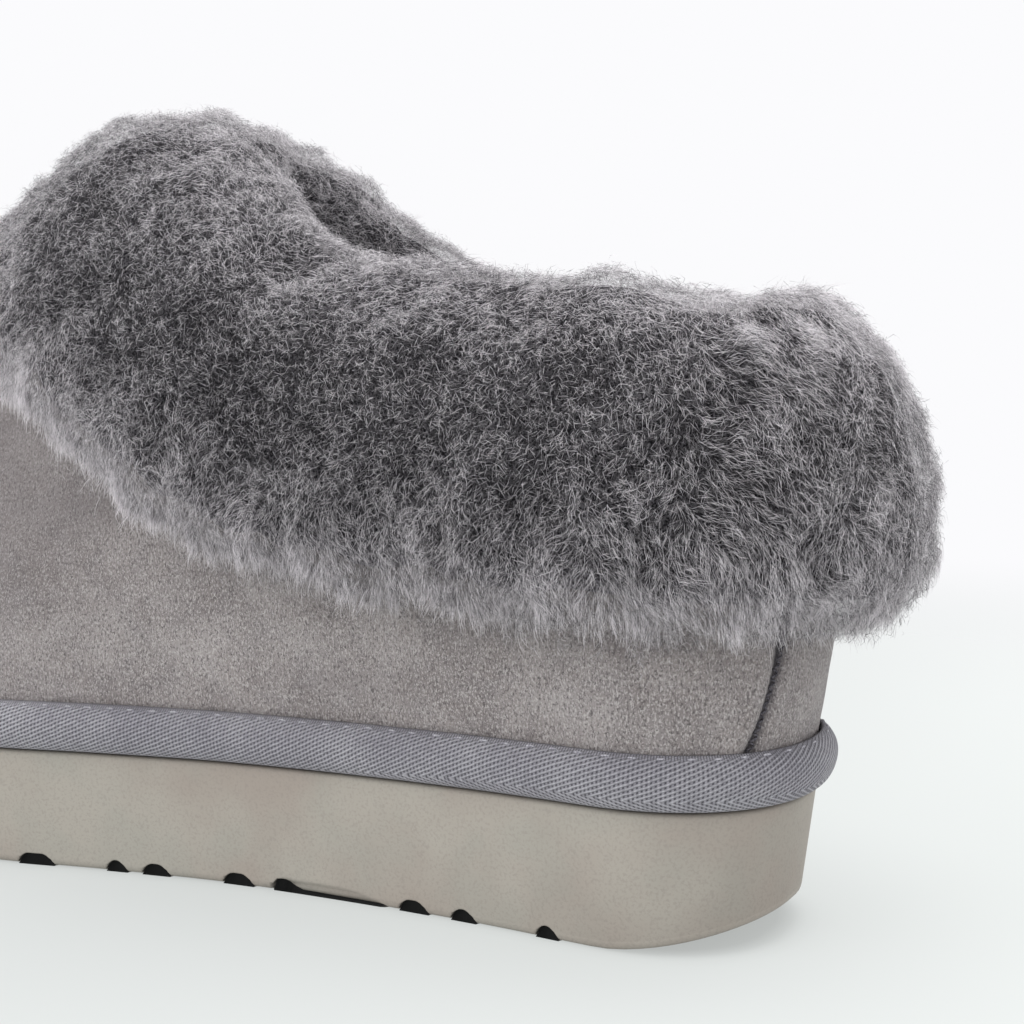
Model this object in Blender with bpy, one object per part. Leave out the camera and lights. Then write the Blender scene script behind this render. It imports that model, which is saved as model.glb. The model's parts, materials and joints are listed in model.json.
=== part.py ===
"""Right-foot platform slipper: sheepskin upper with a deep fur cuff, bound edge and one-piece platform sole.

Run it with blender --background --python part.py, or from the text editor.
Metres, +Z up. The toe points to -Y and the heel to +Y. +X is the inner (big toe) side of the foot.
The shoe stands on z = 0, and the middle of its bounding box is above the origin.
Places along the shoe are told as the distance from the back edge of the sole, in millimetres.
"""

import math

import bmesh
import bpy
import numpy as np

MM = 0.001

# Driving sizes, in millimetres
SOLE_LENGTH = 265.0
BACK_Y = 123.6  # y of the sole's back edge
MIDDLE_X = 0.8  # x of the heel's middle line
SIDE_STEPS = 36  # mesh steps along each side, heel to toe
GAP = 0.3  # clearance between pieces that touch
SHARP_ANGLE = math.radians(38.0)  # edges that turn more than this stay crisp
QUARTER_TURN = np.radians((0.0, 30.0, 60.0, 90.0))  # steps round a rounded edge

HEEL_ROUND = 32.0
TOE_ROUND = 54.0
TOE_SWING = 8.0  # how far the toe turns to the inner side
SWING_FROM = 140.0
ROUND_POWER = 2.2  # power of the superellipses at heel, toe and topline

SOLE_AT_HEEL = 28.3
SOLE_AT_BALL = 27.0
WEDGE_FROM, WEDGE_TO = 40.0, 170.0
SOLE_TAPER = 2.6  # how far the sole's wall leans in from top to bottom
SOLE_EDGE = 1.8  # rounding of the sole's bottom edge
SOLE_BROW = 1.0  # rounding of its top edge
TOE_SPRING = 8.0
SPRING_FROM = 208.0
HEEL_LIFT = 6.0
LIFT_TO = 32.0
LIFT_POWER = 1.5
GROOVE_DEPTH = 3.2
GROOVE_ROUND = 0.8  # share of a channel's size taken by its round top corners
CUTTER_REACH = 70.0  # half length of the bars that cut the underside
CUTTER_DROP = 5.0  # how far they hang below the floor

WALL = 8.0  # suede and skin with the wool pile on their inside
WALL_INSET = 1.6  # the upper's foot stands this far inside the sole's edge
RIM_BACK, RIM_FRONT = -4.6, 146.0
RIM_SHIFT = 0.215  # share by which the topline's stations run ahead of the sole's
RIM_BACK_ROUND, RIM_FRONT_ROUND = 36.0, 54.0
LEAN_FROM = 55.0
FRONT_LEAN = math.radians(44.0)  # slope of the instep away from upright
WALL_SHARES = (0, 0.05, 0.12, 0.22, 0.34, 0.46, 0.58, 0.7, 0.8, 0.9, 1.0)  # mesh rows, sole to topline
FINE_ROWS = 61  # rows of the finer surface that the other pieces are fitted to

CUFF_CLEARANCE = 0.7  # the cuff stands this far off the upper's mesh rows
BAND_CLEARANCE = 0.42  # and the binding this far
BAND_BACK_HEIGHTS = (11.3, 7.5, 3.8, 0.3)  # mesh rows of the binding's inner side
INSOLE_CLEARANCE = 0.6
INSOLE_THICK = 6.0

# Half widths of the sole's top edge at stations from the heel
SOLE_COLUMNS = ("station", "inner", "outer")
SOLE_TABLE = (
    (0.0, 30.0, 31.0),
    (30.0, 30.4, 31.6),
    (60.0, 30.0, 32.8),
    (90.0, 31.3, 36.0),
    (120.0, 34.6, 40.6),
    (150.0, 40.9, 45.6),
    (175.0, 46.0, 48.3),
    (200.0, 47.3, 49.0),
    (225.0, 46.5, 47.5),
    (265.0, 45.0, 45.0),
)

# The topline that the cuff folds over: half widths and height above the floor
RIM_COLUMNS = ("station", "inner", "outer", "height")
RIM_TABLE = (
    (-6.0, 35.0, 36.0, 110.5),
    (25.0, 35.0, 36.0, 113.0),
    (50.0, 35.5, 37.0, 115.0),
    (70.0, 36.0, 37.5, 117.5),
    (95.0, 36.0, 37.5, 122.5),
    (120.0, 36.0, 37.0, 138.0),
    (146.0, 36.0, 36.0, 154.0),
)

# How the upper's sides leave the sole and reach the topline, by the sole's stations
RISE_COLUMNS = ("station", "foot_pull", "lean", "rim_pull")
RISE_TABLE = (
    (0.0, 16.0, 4.4, 32.0),
    (90.0, 20.0, 3.0, 36.0),
    (160.0, 38.0, 4.0, 48.0),
    (210.0, 56.0, 7.0, 62.0),
    (265.0, 58.0, 8.0, 66.0),
)

# The fur cuff, by the topline's stations: length down the outside, depth, and rise above the topline
CUFF_COLUMNS = ("station", "length", "depth", "rise")
CUFF_TABLE = (
    (-6.0, 49.0, 17.8, 14.0),
    (40.0, 49.0, 18.5, 14.5),
    (80.0, 52.0, 19.0, 15.0),
    (115.0, 56.0, 24.0, 18.0),
    (146.0, 58.0, 29.0, 21.0),
)

# The cuff's section below the topline: shares of its length and of its depth
SKIRT_COLUMNS = ("down", "out")
SKIRT_TABLE = (
    (1.00, 0.28),
    (0.97, 0.62),
    (0.88, 0.88),
    (0.74, 1.00),
    (0.52, 1.00),
    (0.28, 0.95),
    (0.10, 0.86),
)

# Its section above the topline: shares of its height and of its depth
CROWN_COLUMNS = ("up", "out")
CROWN_TABLE = (
    (0.16, 0.70),
    (0.50, 0.46),
    (0.82, 0.14),
    (1.00, -0.20),
    (0.90, -0.46),
    (0.56, -0.62),
    (0.22, -0.64),
)

# The binding's section: distance out from the sole's edge and up from its top, in millimetres
BAND_COLUMNS = ("out", "up")
BAND_TABLE = (
    (-0.2, 0.3),
    (1.9, 1.0),
    (3.4, 3.0),
    (4.2, 5.8),
    (4.0, 8.2),
    (2.9, 10.2),
    (1.5, 11.3),
)

# Channels across the sole, between stations from the heel; each lies between two lugs
GROOVE_COLUMNS = ("start", "end")
GROOVE_TABLE = (
    (40.7, 45.2),
    (59.5, 64.8),
    (70.7, 77.1),
    (113.4, 120.3),
    (133.8, 140.0),
    (144.2, 148.8),
    (162.1, 170.5),
    (181.0, 186.0),
    (197.0, 205.0),
    (219.0, 225.0),
    (236.0, 241.0),
)

# The arch: a shallow hollow that deepens towards the toe and ends in a short round wall
ARCH_COLUMNS = ("station", "rise")
ARCH_TABLE = (
    (81.0, 0.0),
    (88.0, 0.6),
    (96.0, 1.6),
    (102.0, 2.4),
    (105.5, 2.6),
    (107.6, 2.0),
    (108.5, 0.6),
)

SUEDE = ("suede", (0.27, 0.245, 0.242), 0.95)
FUR = ("sheepskin", (0.125, 0.12, 0.13), 0.9)
TAPE = ("twill_tape", (0.245, 0.235, 0.27), 0.8)
RUBBER = ("sole_foam", (0.37, 0.34, 0.295), 0.6)
FLEECE = ("fleece", (0.18, 0.175, 0.18), 0.95)


def column(table, columns, name):
    """One named column of a table."""
    return np.array([row[columns.index(name)] for row in table], float)


def eased(table, columns, name, stations):
    """A table's column at any station, along a smooth curve through its rows."""
    xs = column(table, columns, "station")
    ys = column(table, columns, name)
    slopes = np.gradient(ys, xs)
    stations = np.clip(stations, xs[0], xs[-1])
    cell = np.clip(np.searchsorted(xs, stations, side="right") - 1, 0, len(xs) - 2)
    width = xs[cell + 1] - xs[cell]
    s = (stations - xs[cell]) / width
    start = (1 + 2 * s) * (1 - s) ** 2 * ys[cell] + s * (1 - s) ** 2 * width * slopes[cell]
    end = s**2 * (3 - 2 * s) * ys[cell + 1] + s**2 * (s - 1) * width * slopes[cell + 1]
    return start + end


def smooth_step(x, start, end):
    s = np.clip((x - start) / (end - start), 0, 1)
    return s * s * (3 - 2 * s)


def end_round(distance, reach):
    """Share of the full width at this distance from the end of a superellipse."""
    s = np.clip(1 - distance / reach, 0, 1)
    return (1 - s**ROUND_POWER) ** (1 / ROUND_POWER)


def ring_stations():
    """Stations all round the sole: heel, inner side, toe, outer side, close together at both ends."""
    turn = np.arange(2 * SIDE_STEPS) * math.pi / SIDE_STEPS
    return SOLE_LENGTH * (1 - np.cos(turn)) / 2


def is_inner():
    return np.arange(2 * SIDE_STEPS) <= SIDE_STEPS


def place(stations, across, heights):
    """Points in world metres, from stations, distances towards the inner side, and heights."""
    return np.stack([MIDDLE_X + across, BACK_Y - stations, heights], axis=-1) * MM


def outward(loop):
    """Level unit normals that point out of a closed loop."""
    along = np.roll(loop, -1, axis=0) - np.roll(loop, 1, axis=0)
    normal = np.stack([-along[:, 1], along[:, 0], np.zeros(len(loop))], axis=-1)
    normal /= np.linalg.norm(normal, axis=1, keepdims=True)
    away = loop - loop.mean(axis=0)
    sign = np.sign((normal * away).sum())
    return normal * sign


def sole_bottom(stations):
    """Height of the underside before its channels are cut: flat, but raised at the toe and the back edge."""
    lift = np.clip(1 - stations / LIFT_TO, 0, 1) ** LIFT_POWER
    return toe_spring(stations) + HEEL_LIFT * lift


def toe_spring(stations):
    return TOE_SPRING * np.clip((stations - SPRING_FROM) / (SOLE_LENGTH - SPRING_FROM), 0, 1) ** 2


def sole_top(stations):
    """Height of the sole's top edge, which falls a little from heel to ball."""
    wedge = np.clip((stations - WEDGE_FROM) / (WEDGE_TO - WEDGE_FROM), 0, 1)
    return SOLE_AT_HEEL + (SOLE_AT_BALL - SOLE_AT_HEEL) * wedge + toe_spring(stations)


def sole_edge():
    """The sole's top edge as a closed loop."""
    stations = ring_stations()
    inner = eased(SOLE_TABLE, SOLE_COLUMNS, "inner", stations)
    outer = eased(SOLE_TABLE, SOLE_COLUMNS, "outer", stations)
    width = np.where(is_inner(), inner, -outer)
    width = width * end_round(stations, HEEL_ROUND) * end_round(SOLE_LENGTH - stations, TOE_ROUND)
    width = width + TOE_SWING * smooth_step(stations, SWING_FROM, SOLE_LENGTH)
    return place(stations, width, sole_top(stations))


def rim_edge():
    """The upper's topline as a closed loop, and the stations of its points."""
    share = ring_stations() / SOLE_LENGTH
    share = share + RIM_SHIFT * np.sin(math.pi * share)
    stations = RIM_BACK + (RIM_FRONT - RIM_BACK) * share
    inner = eased(RIM_TABLE, RIM_COLUMNS, "inner", stations)
    outer = eased(RIM_TABLE, RIM_COLUMNS, "outer", stations)
    width = np.where(is_inner(), inner, -outer)
    width = width * end_round(stations - RIM_BACK, RIM_BACK_ROUND)
    width = width * end_round(RIM_FRONT - stations, RIM_FRONT_ROUND)
    heights = eased(RIM_TABLE, RIM_COLUMNS, "height", stations)
    return place(stations, width, heights), stations


def rim_direction(stations):
    """Unit direction in which the wall reaches the topline: up at the heel, up and back at the instep."""
    lean = FRONT_LEAN * smooth_step(stations, LEAN_FROM, RIM_FRONT)
    return np.stack([np.zeros(len(lean)), np.sin(lean), np.cos(lean)], axis=-1)


def wall_surface(shares):
    """The upper's outer surface, from the sole (share 0) to the topline (share 1): [around, up, xyz]."""
    stations = ring_stations()
    edge = sole_edge()
    out = outward(edge)
    foot = edge - out * WALL_INSET * MM + np.array([0, 0, GAP * MM])
    rim, rim_stations = rim_edge()
    foot_pull = eased(RISE_TABLE, RISE_COLUMNS, "foot_pull", stations)[:, None] * MM
    lean = eased(RISE_TABLE, RISE_COLUMNS, "lean", stations)[:, None] * MM
    rim_pull = eased(RISE_TABLE, RISE_COLUMNS, "rim_pull", stations)[:, None] * MM
    low = foot + np.array([0, 0, 1]) * foot_pull + out * lean
    high = rim - rim_direction(rim_stations) * rim_pull
    s = np.asarray(shares, float)[None, :, None]
    foot, low, high, rim = (points[:, None, :] for points in (foot, low, high, rim))
    return (1 - s) ** 3 * foot + 3 * s * (1 - s) ** 2 * low + 3 * s**2 * (1 - s) * high + s**3 * rim


def surface_normals(grid):
    """Unit normals of a [around, up, xyz] surface, pointing out of the shoe."""
    around = np.roll(grid, -1, axis=0) - np.roll(grid, 1, axis=0)
    up = np.gradient(grid, axis=1)
    normal = np.cross(around, up)
    normal /= np.linalg.norm(normal, axis=-1, keepdims=True)
    away = grid - grid.mean(axis=(0, 1))
    return normal * np.sign((normal * away).sum())


def along_wall(fine, fine_normals, distance):
    """Points and normals at a distance down each line of the surface from the topline, in metres."""
    lengths = np.linalg.norm(np.diff(fine, axis=1), axis=-1)
    below = np.concatenate([np.cumsum(lengths[:, ::-1], axis=1)[:, ::-1], np.zeros((len(fine), 1))], axis=1)
    points = np.empty((len(fine), 3))
    normals = np.empty((len(fine), 3))
    for i in range(len(fine)):
        for axis in range(3):
            points[i, axis] = np.interp(distance[i], below[i, ::-1], fine[i, ::-1, axis])
            normals[i, axis] = np.interp(distance[i], below[i, ::-1], fine_normals[i, ::-1, axis])
    return points, normals / np.linalg.norm(normals, axis=1, keepdims=True)


def at_height(fine, heights):
    """Points where each line of the surface passes these heights, in metres."""
    points = np.empty((len(fine), 3))
    for i in range(len(fine)):
        for axis in range(3):
            points[i, axis] = np.interp(heights[i], fine[i, :, 2], fine[i, :, axis])
    return points


def material(look):
    """A plain Principled material from its name, colour and roughness."""
    name, color, roughness = look
    made = bpy.data.materials.new(name)
    made.use_nodes = True
    shader = made.node_tree.nodes["Principled BSDF"]
    shader.inputs["Base Color"].default_value = (*color, 1.0)
    shader.inputs["Roughness"].default_value = roughness
    shader.inputs["Metallic"].default_value = 0.0
    made.diffuse_color = (*color, 1.0)
    return made


def skinned(name, rings, look, is_tube):
    """A closed body over rings of points: a tube joins its last ring to its first, others are capped."""
    count = len(rings[0])
    mesh = bmesh.new()
    verts = [[mesh.verts.new(point) for point in ring] for ring in rings]
    pairs = list(zip(verts, verts[1:]))
    if is_tube:
        pairs.append((verts[-1], verts[0]))
    for lower, upper in pairs:
        for i in range(count):
            j = (i + 1) % count
            mesh.faces.new((lower[i], lower[j], upper[j], upper[i]))
    if not is_tube:
        cap(mesh, verts[0])
        cap(mesh, verts[-1])
    bmesh.ops.recalc_face_normals(mesh, faces=mesh.faces)
    data = bpy.data.meshes.new(name)
    mesh.to_mesh(data)
    mesh.free()
    data.materials.append(material(look))
    data.shade_smooth()
    data.set_sharp_from_angle(angle=SHARP_ANGLE)
    made = bpy.data.objects.new(name, data)
    bpy.context.scene.collection.objects.link(made)
    return made


def cap(mesh, ring):
    """Fills a ring with cross strips from its inner to its outer side."""
    count = len(ring)
    half = count // 2
    mesh.faces.new((ring[0], ring[1], ring[-1]))
    for i in range(1, half - 1):
        mesh.faces.new((ring[i], ring[i + 1], ring[count - i - 1], ring[count - i]))
    mesh.faces.new((ring[half - 1], ring[half], ring[half + 1]))


def lifted(loop, heights):
    """The same loop at other heights, given in millimetres."""
    moved = loop.copy()
    moved[:, 2] = heights * MM
    return moved


def make_outsole():
    """The one-piece platform, with its arch and the channels between its lugs cut by separate bars."""
    edge = sole_edge()
    out = outward(edge) * MM
    stations = ring_stations()
    bottom = sole_bottom(stations)
    top = sole_top(stations)
    rings = []
    for turn in QUARTER_TURN:
        inward = SOLE_TAPER + SOLE_EDGE * (1 - math.sin(turn))
        rings.append(lifted(edge - out * inward, bottom + SOLE_EDGE * (1 - math.cos(turn))))
    rings.append(lifted(edge, top - SOLE_BROW))
    rings.append(lifted(edge - out * SOLE_BROW / 3, top - SOLE_BROW / 3))
    rings.append(lifted(edge - out * SOLE_BROW, top))
    sole = skinned("outsole", rings, RUBBER, is_tube=False)
    cut(sole, underside_bar("arch_bar", arch_profile()))
    starts = column(GROOVE_TABLE, GROOVE_COLUMNS, "start")
    ends = column(GROOVE_TABLE, GROOVE_COLUMNS, "end")
    for number, (start, end) in enumerate(zip(starts, ends), 1):
        cut(sole, underside_bar(f"groove_bar_{number}", groove_profile(start, end)))
    return sole


def cut(body, bar):
    """Takes the bar's shape away from the body."""
    channel = body.modifiers.new(bar.name, "BOOLEAN")
    channel.operation = "DIFFERENCE"
    channel.object = bar


def groove_profile(start, end):
    """Stations and heights round a channel's section, whose top corners are round."""
    middle = (start + end) / 2
    half = (end - start) / 2
    top = toe_spring(np.array([middle]))[0] + GROOVE_DEPTH
    corner = min(half, GROOVE_DEPTH) * GROOVE_ROUND
    side = [(half, -CUTTER_DROP)]
    for turn in QUARTER_TURN:
        side.append((half - corner * (1 - math.cos(turn)), top - corner * (1 - math.sin(turn))))
    side += [(-along, height) for along, height in reversed(side)]
    return [(middle + along, height) for along, height in side]


def arch_profile():
    """Stations and heights round the arch's section."""
    stations = column(ARCH_TABLE, ARCH_COLUMNS, "station")
    rises = column(ARCH_TABLE, ARCH_COLUMNS, "rise")
    profile = [(stations[0], -CUTTER_DROP)]
    profile += list(zip(stations, rises))
    profile += [(stations[-1], -CUTTER_DROP)]
    return profile


def underside_bar(name, profile):
    """A bar across the sole with this section, which cuts the underside and isn't part of the shoe."""
    mesh = bmesh.new()
    ends = []
    for across in (-CUTTER_REACH, CUTTER_REACH):
        ends.append([mesh.verts.new(place(station, across, height)) for station, height in profile])
    count = len(profile)
    for i in range(count):
        j = (i + 1) % count
        mesh.faces.new((ends[0][i], ends[0][j], ends[1][j], ends[1][i]))
    mesh.faces.new(ends[0])
    mesh.faces.new(ends[1])
    bmesh.ops.recalc_face_normals(mesh, faces=mesh.faces)
    data = bpy.data.meshes.new(name)
    mesh.to_mesh(data)
    mesh.free()
    bar = bpy.data.objects.new(name, data)
    bar.hide_render = True
    bar.display_type = "WIRE"
    bpy.context.scene.collection.objects.link(bar)
    return bar


def make_upper():
    """The hollow upper, open at the topline and underneath."""
    outside = wall_surface(WALL_SHARES)
    inside = outside - surface_normals(outside) * WALL * MM
    inside[:, 0, 2] = outside[:, 0, 2]
    rows = range(len(WALL_SHARES))
    rings = [outside[:, i] for i in rows]
    rings += [inside[:, i] for i in reversed(rows)]
    return skinned("upper", rings, SUEDE, is_tube=True)


def make_cuff(fine, fine_normals):
    """The deep fur cuff, folded over the topline and down the outside."""
    rim, stations = rim_edge()
    up = rim_direction(stations)
    rim_normals = fine_normals[:, -1]
    length = eased(CUFF_TABLE, CUFF_COLUMNS, "length", stations) * MM
    depth = eased(CUFF_TABLE, CUFF_COLUMNS, "depth", stations)[:, None] * MM
    crown = eased(CUFF_TABLE, CUFF_COLUMNS, "rise", stations)[:, None] * MM
    rings = []
    downs = column(SKIRT_TABLE, SKIRT_COLUMNS, "down")
    outs = column(SKIRT_TABLE, SKIRT_COLUMNS, "out")
    for down, out in zip(downs, outs):
        points, normals = along_wall(fine, fine_normals, length * down)
        rings.append(points + normals * depth * out)
    ups = column(CROWN_TABLE, CROWN_COLUMNS, "up")
    crown_outs = column(CROWN_TABLE, CROWN_COLUMNS, "out")
    for rise, out in zip(ups, crown_outs):
        rings.append(rim + up * crown * rise + rim_normals * depth * out)
    rings.append(rim + up * CUFF_CLEARANCE * MM - rim_normals * (WALL + CUFF_CLEARANCE) * MM)
    rings.append(rim + up * CUFF_CLEARANCE * MM + rim_normals * CUFF_CLEARANCE * MM)
    for down in downs[:0:-1]:
        points, normals = along_wall(fine, fine_normals, length * down)
        rings.append(points + normals * CUFF_CLEARANCE * MM)
    return skinned("collar", rings, FUR, is_tube=True)


def make_binding(fine):
    """The rounded band of twill tape around the upper's foot."""
    edge = sole_edge()
    out = outward(edge) * MM
    top = sole_top(ring_stations())
    rings = []
    outs = column(BAND_TABLE, BAND_COLUMNS, "out")
    ups = column(BAND_TABLE, BAND_COLUMNS, "up")
    for reach, rise in zip(outs, ups):
        rings.append(lifted(edge + out * reach, top + rise))
    for rise in BAND_BACK_HEIGHTS:
        wall = at_height(fine, (top + rise) * MM)
        rings.append(wall + out * BAND_CLEARANCE)
    return skinned("binding", rings, TAPE, is_tube=True)


def make_insole(fine, fine_normals):
    """The fleece footbed, flat across, inside the upper."""
    top = sole_top(ring_stations())
    inner_wall = fine - fine_normals * (WALL + INSOLE_CLEARANCE) * MM
    rings = []
    for rise in (GAP, INSOLE_THICK):
        edge = at_height(inner_wall, (top + rise) * MM)
        rings.append(lifted(edge, top + rise))
    return skinned("insole", rings, FLEECE, is_tube=False)


def main():
    for old in list(bpy.data.objects):
        bpy.data.objects.remove(old)
    fine = wall_surface(np.linspace(0, 1, FINE_ROWS))
    fine_normals = surface_normals(fine)
    make_outsole()
    make_upper()
    make_cuff(fine, fine_normals)
    make_binding(fine)
    make_insole(fine, fine_normals)


main()
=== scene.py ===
"""Looks of the right-foot platform slipper: brushed suede, a deep fur cuff, twill tape and a foam sole.

Metres, +Z up. The toe points to -Y and the heel to +Y. +X is the inner (big toe) side of the foot.
Stations are distances along the shoe from the back edge of the sole, in millimetres.
"""

import json
import math

import bmesh
import bpy
import numpy as np
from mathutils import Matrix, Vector


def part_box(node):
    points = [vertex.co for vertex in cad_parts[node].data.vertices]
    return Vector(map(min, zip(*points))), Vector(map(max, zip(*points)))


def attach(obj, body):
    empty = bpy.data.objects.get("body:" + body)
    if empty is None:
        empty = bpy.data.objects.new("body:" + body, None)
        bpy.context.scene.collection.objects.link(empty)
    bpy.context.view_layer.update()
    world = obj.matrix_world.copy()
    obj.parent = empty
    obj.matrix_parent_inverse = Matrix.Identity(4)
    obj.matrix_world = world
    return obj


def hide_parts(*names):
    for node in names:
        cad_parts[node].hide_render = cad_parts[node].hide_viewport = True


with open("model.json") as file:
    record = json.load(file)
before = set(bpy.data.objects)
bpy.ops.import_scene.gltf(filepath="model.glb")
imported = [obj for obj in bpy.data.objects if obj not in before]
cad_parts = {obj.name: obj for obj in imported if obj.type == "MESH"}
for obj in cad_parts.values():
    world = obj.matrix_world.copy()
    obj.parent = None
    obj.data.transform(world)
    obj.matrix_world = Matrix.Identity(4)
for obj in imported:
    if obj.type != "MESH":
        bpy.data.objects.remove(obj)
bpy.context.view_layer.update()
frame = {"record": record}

MM = 0.001


class Table:
    """Rows of numbers under named columns."""

    def __init__(self, columns, rows):
        self.columns, self.rows = columns.split(), rows

    def column(self, name):
        return np.array([row[self.columns.index(name)] for row in self.rows], float)

    def at(self, name, stations):
        """A column at any station, along a smooth curve through its rows."""
        xs, ys = self.column("station"), self.column(name)
        slopes = np.gradient(ys, xs)
        stations = np.clip(stations, xs[0], xs[-1])
        cell = np.clip(np.searchsorted(xs, stations, side="right") - 1, 0, len(xs) - 2)
        width = xs[cell + 1] - xs[cell]
        s = (stations - xs[cell]) / width
        return curve_between(s, ys[cell], ys[cell + 1], slopes[cell], slopes[cell + 1], width)


def curve_between(s, first, last, first_slope, last_slope, width=1.0):
    """A smooth curve from first (s = 0) to last (s = 1) that has these slopes at its ends."""
    start = (1 + 2 * s) * (1 - s) ** 2 * first + s * (1 - s) ** 2 * width * first_slope
    end = s**2 * (3 - 2 * s) * last + s**2 * (s - 1) * width * last_slope
    return start + end


# ---- the last, as the CAD has it

SOLE_LENGTH = 265.0
SOLE_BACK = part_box("outsole")[1].y / MM  # y of the sole's back edge
MIDDLE_X = frame["record"]["mounts"][0]["pos_m"][0] / MM  # x of the heel's middle line
GAP = 0.3

HEEL_ROUND = 32.0
TOE_ROUND = 54.0
TOE_SWING = 8.0
SWING_FROM = 140.0
ROUND_POWER = 2.2

SOLE_AT_HEEL = 28.3
SOLE_AT_BALL = 27.0
WEDGE_FROM, WEDGE_TO = 40.0, 170.0
SOLE_TAPER = 2.6
SOLE_EDGE = 1.8
SOLE_BROW = 1.0
TOE_SPRING = 8.0
SPRING_FROM = 208.0
HEEL_LIFT = 6.0
LIFT_TO = 32.0
LIFT_POWER = 1.5
GROOVE_DEPTH = 2.8

WALL = 8.0
WALL_INSET = 1.6
RIM_BACK, RIM_FRONT = -4.6, 146.0
RIM_SHIFT = 0.215
RIM_BACK_ROUND, RIM_FRONT_ROUND = 36.0, 54.0
LEAN_FROM = 55.0
FRONT_LEAN = math.radians(44.0)
INSOLE_THICK = 6.0

SOLE_TABLE = Table("station inner outer", (
    (0, 30, 31),
    (30, 30.4, 31.6),
    (60, 30, 32.8),
    (90, 31.3, 36),
    (120, 34.6, 40.6),
    (150, 40.9, 45.6),
    (175, 46, 48.3),
    (200, 47.3, 49),
    (225, 46.5, 47.5),
    (265, 45, 45),
))
RIM_TABLE = Table("station inner outer height", (
    (-6, 35, 36, 110.5),
    (25, 35, 36, 113),
    (50, 35.5, 37, 115),
    (70, 36, 37.5, 117.5),
    (95, 36, 37.5, 122.5),
    (120, 36, 37, 138),
    (146, 36, 36, 154),
))
RISE_TABLE = Table("station foot_pull lean rim_pull", (
    (0, 16, 4.4, 32),
    (90, 20, 3, 36),
    (160, 38, 4, 48),
    (210, 56, 7, 62),
    (265, 58, 8, 66),
))
CUFF_TABLE = Table("station length depth rise", (
    (-6, 49, 17.8, 14),
    (40, 49, 18.5, 14.5),
    (80, 52, 19, 15),
    (115, 56, 24, 18),
    (146, 58, 29, 21),
))
SKIRT_TABLE = Table("down out", (
    (1.00, 0.28),
    (0.97, 0.62),
    (0.88, 0.88),
    (0.74, 1.00),
    (0.52, 1.00),
    (0.28, 0.95),
    (0.10, 0.86),
))
CROWN_TABLE = Table("up out", (
    (0.16, 0.70),
    (0.50, 0.46),
    (0.82, 0.14),
    (1.00, -0.20),
    (0.90, -0.46),
    (0.56, -0.62),
    (0.22, -0.64),
))
BAND_TABLE = Table("out up", (
    (-0.2, 0.3),
    (1.9, 1),
    (3.4, 3),
    (4.2, 5.8),
    (4, 8.2),
    (2.9, 10.2),
    (1.5, 11.3),
))
GROOVE_TABLE = Table("start end", (
    (40.7, 45.2),
    (59.5, 64.8),
    (70.7, 77.1),
    (113.4, 120.3),
    (133.8, 140),
    (144.2, 148.8),
    (162.1, 170.5),
    (181, 186),
    (197, 205),
    (219, 225),
    (236, 241),
))
ARCH_TABLE = Table("station rise gap", (
    (79.5, 0, 0),
    (81.5, 1, 0.28),
    (86, 2.4, 0.38),
    (92.5, 3.1, 0.45),
    (98, 3.2, 0.6),
    (101.3, 3.1, 0.9),
    (103, 3, 1.7),
    (104.6, 3, 2.7),
    (106.4, 2.9, 2.9),
    (107.7, 2.3, 2.3),
    (108.5, 0.5, 0.5),
))


def smooth_step(x, start, end):
    """0 before start, 1 after end."""
    s = np.clip((x - start) / (end - start), 0, 1)
    return s * s * (3 - 2 * s)


def end_round(distance, reach):
    s = np.clip(1 - distance / reach, 0, 1)
    return (1 - s**ROUND_POWER) ** (1 / ROUND_POWER)


def even_turns(count):
    return np.arange(count) * 2 * math.pi / count


def stations_at(turns):
    return SOLE_LENGTH * (1 - np.cos(turns)) / 2


def place(stations, across, heights):
    """Points in world metres, from stations, distances towards the inner side, and heights."""
    return np.stack([MIDDLE_X + across, SOLE_BACK - stations, heights], axis=-1) * MM


def stations_of(points):
    return SOLE_BACK - points[..., 1] / MM


def across_of(points):
    """How far points lie from the heel's middle line towards the inner side, in millimetres."""
    return points[..., 0] / MM - MIDDLE_X


def hill(*distances):
    """1 where all distances are 0, falling away smoothly to about 0 where one of them is 2."""
    return np.exp(-sum(distance**2 for distance in distances))


def running(steps):
    """How far along a line each of its points lies, from the distances between them."""
    return np.concatenate([[0.0], np.cumsum(steps)])


def steps_round(loop):
    return np.linalg.norm(np.roll(loop, -1, axis=0) - loop, axis=-1)


def outward(loop):
    """Level unit normals that point out of a closed loop."""
    along = np.roll(loop, -1, axis=0) - np.roll(loop, 1, axis=0)
    normal = np.stack([-along[:, 1], along[:, 0], np.zeros(len(loop))], axis=-1)
    normal /= np.linalg.norm(normal, axis=1, keepdims=True)
    return normal * np.sign((normal * (loop - loop.mean(axis=0))).sum())


def toe_spring(stations):
    return TOE_SPRING * np.clip((stations - SPRING_FROM) / (SOLE_LENGTH - SPRING_FROM), 0, 1) ** 2


def sole_bottom(stations):
    lift = np.clip(1 - stations / LIFT_TO, 0, 1) ** LIFT_POWER
    return toe_spring(stations) + HEEL_LIFT * lift


def sole_top(stations):
    wedge = np.clip((stations - WEDGE_FROM) / (WEDGE_TO - WEDGE_FROM), 0, 1)
    return SOLE_AT_HEEL + (SOLE_AT_BALL - SOLE_AT_HEEL) * wedge + toe_spring(stations)


def sole_edge(turns):
    """The sole's top edge as a closed loop."""
    stations = stations_at(turns)
    inner = SOLE_TABLE.at("inner", stations)
    outer = SOLE_TABLE.at("outer", stations)
    width = np.where(turns <= math.pi, inner, -outer)
    width = width * end_round(stations, HEEL_ROUND) * end_round(SOLE_LENGTH - stations, TOE_ROUND)
    width = width + TOE_SWING * smooth_step(stations, SWING_FROM, SOLE_LENGTH)
    return place(stations, width, sole_top(stations))


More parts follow.
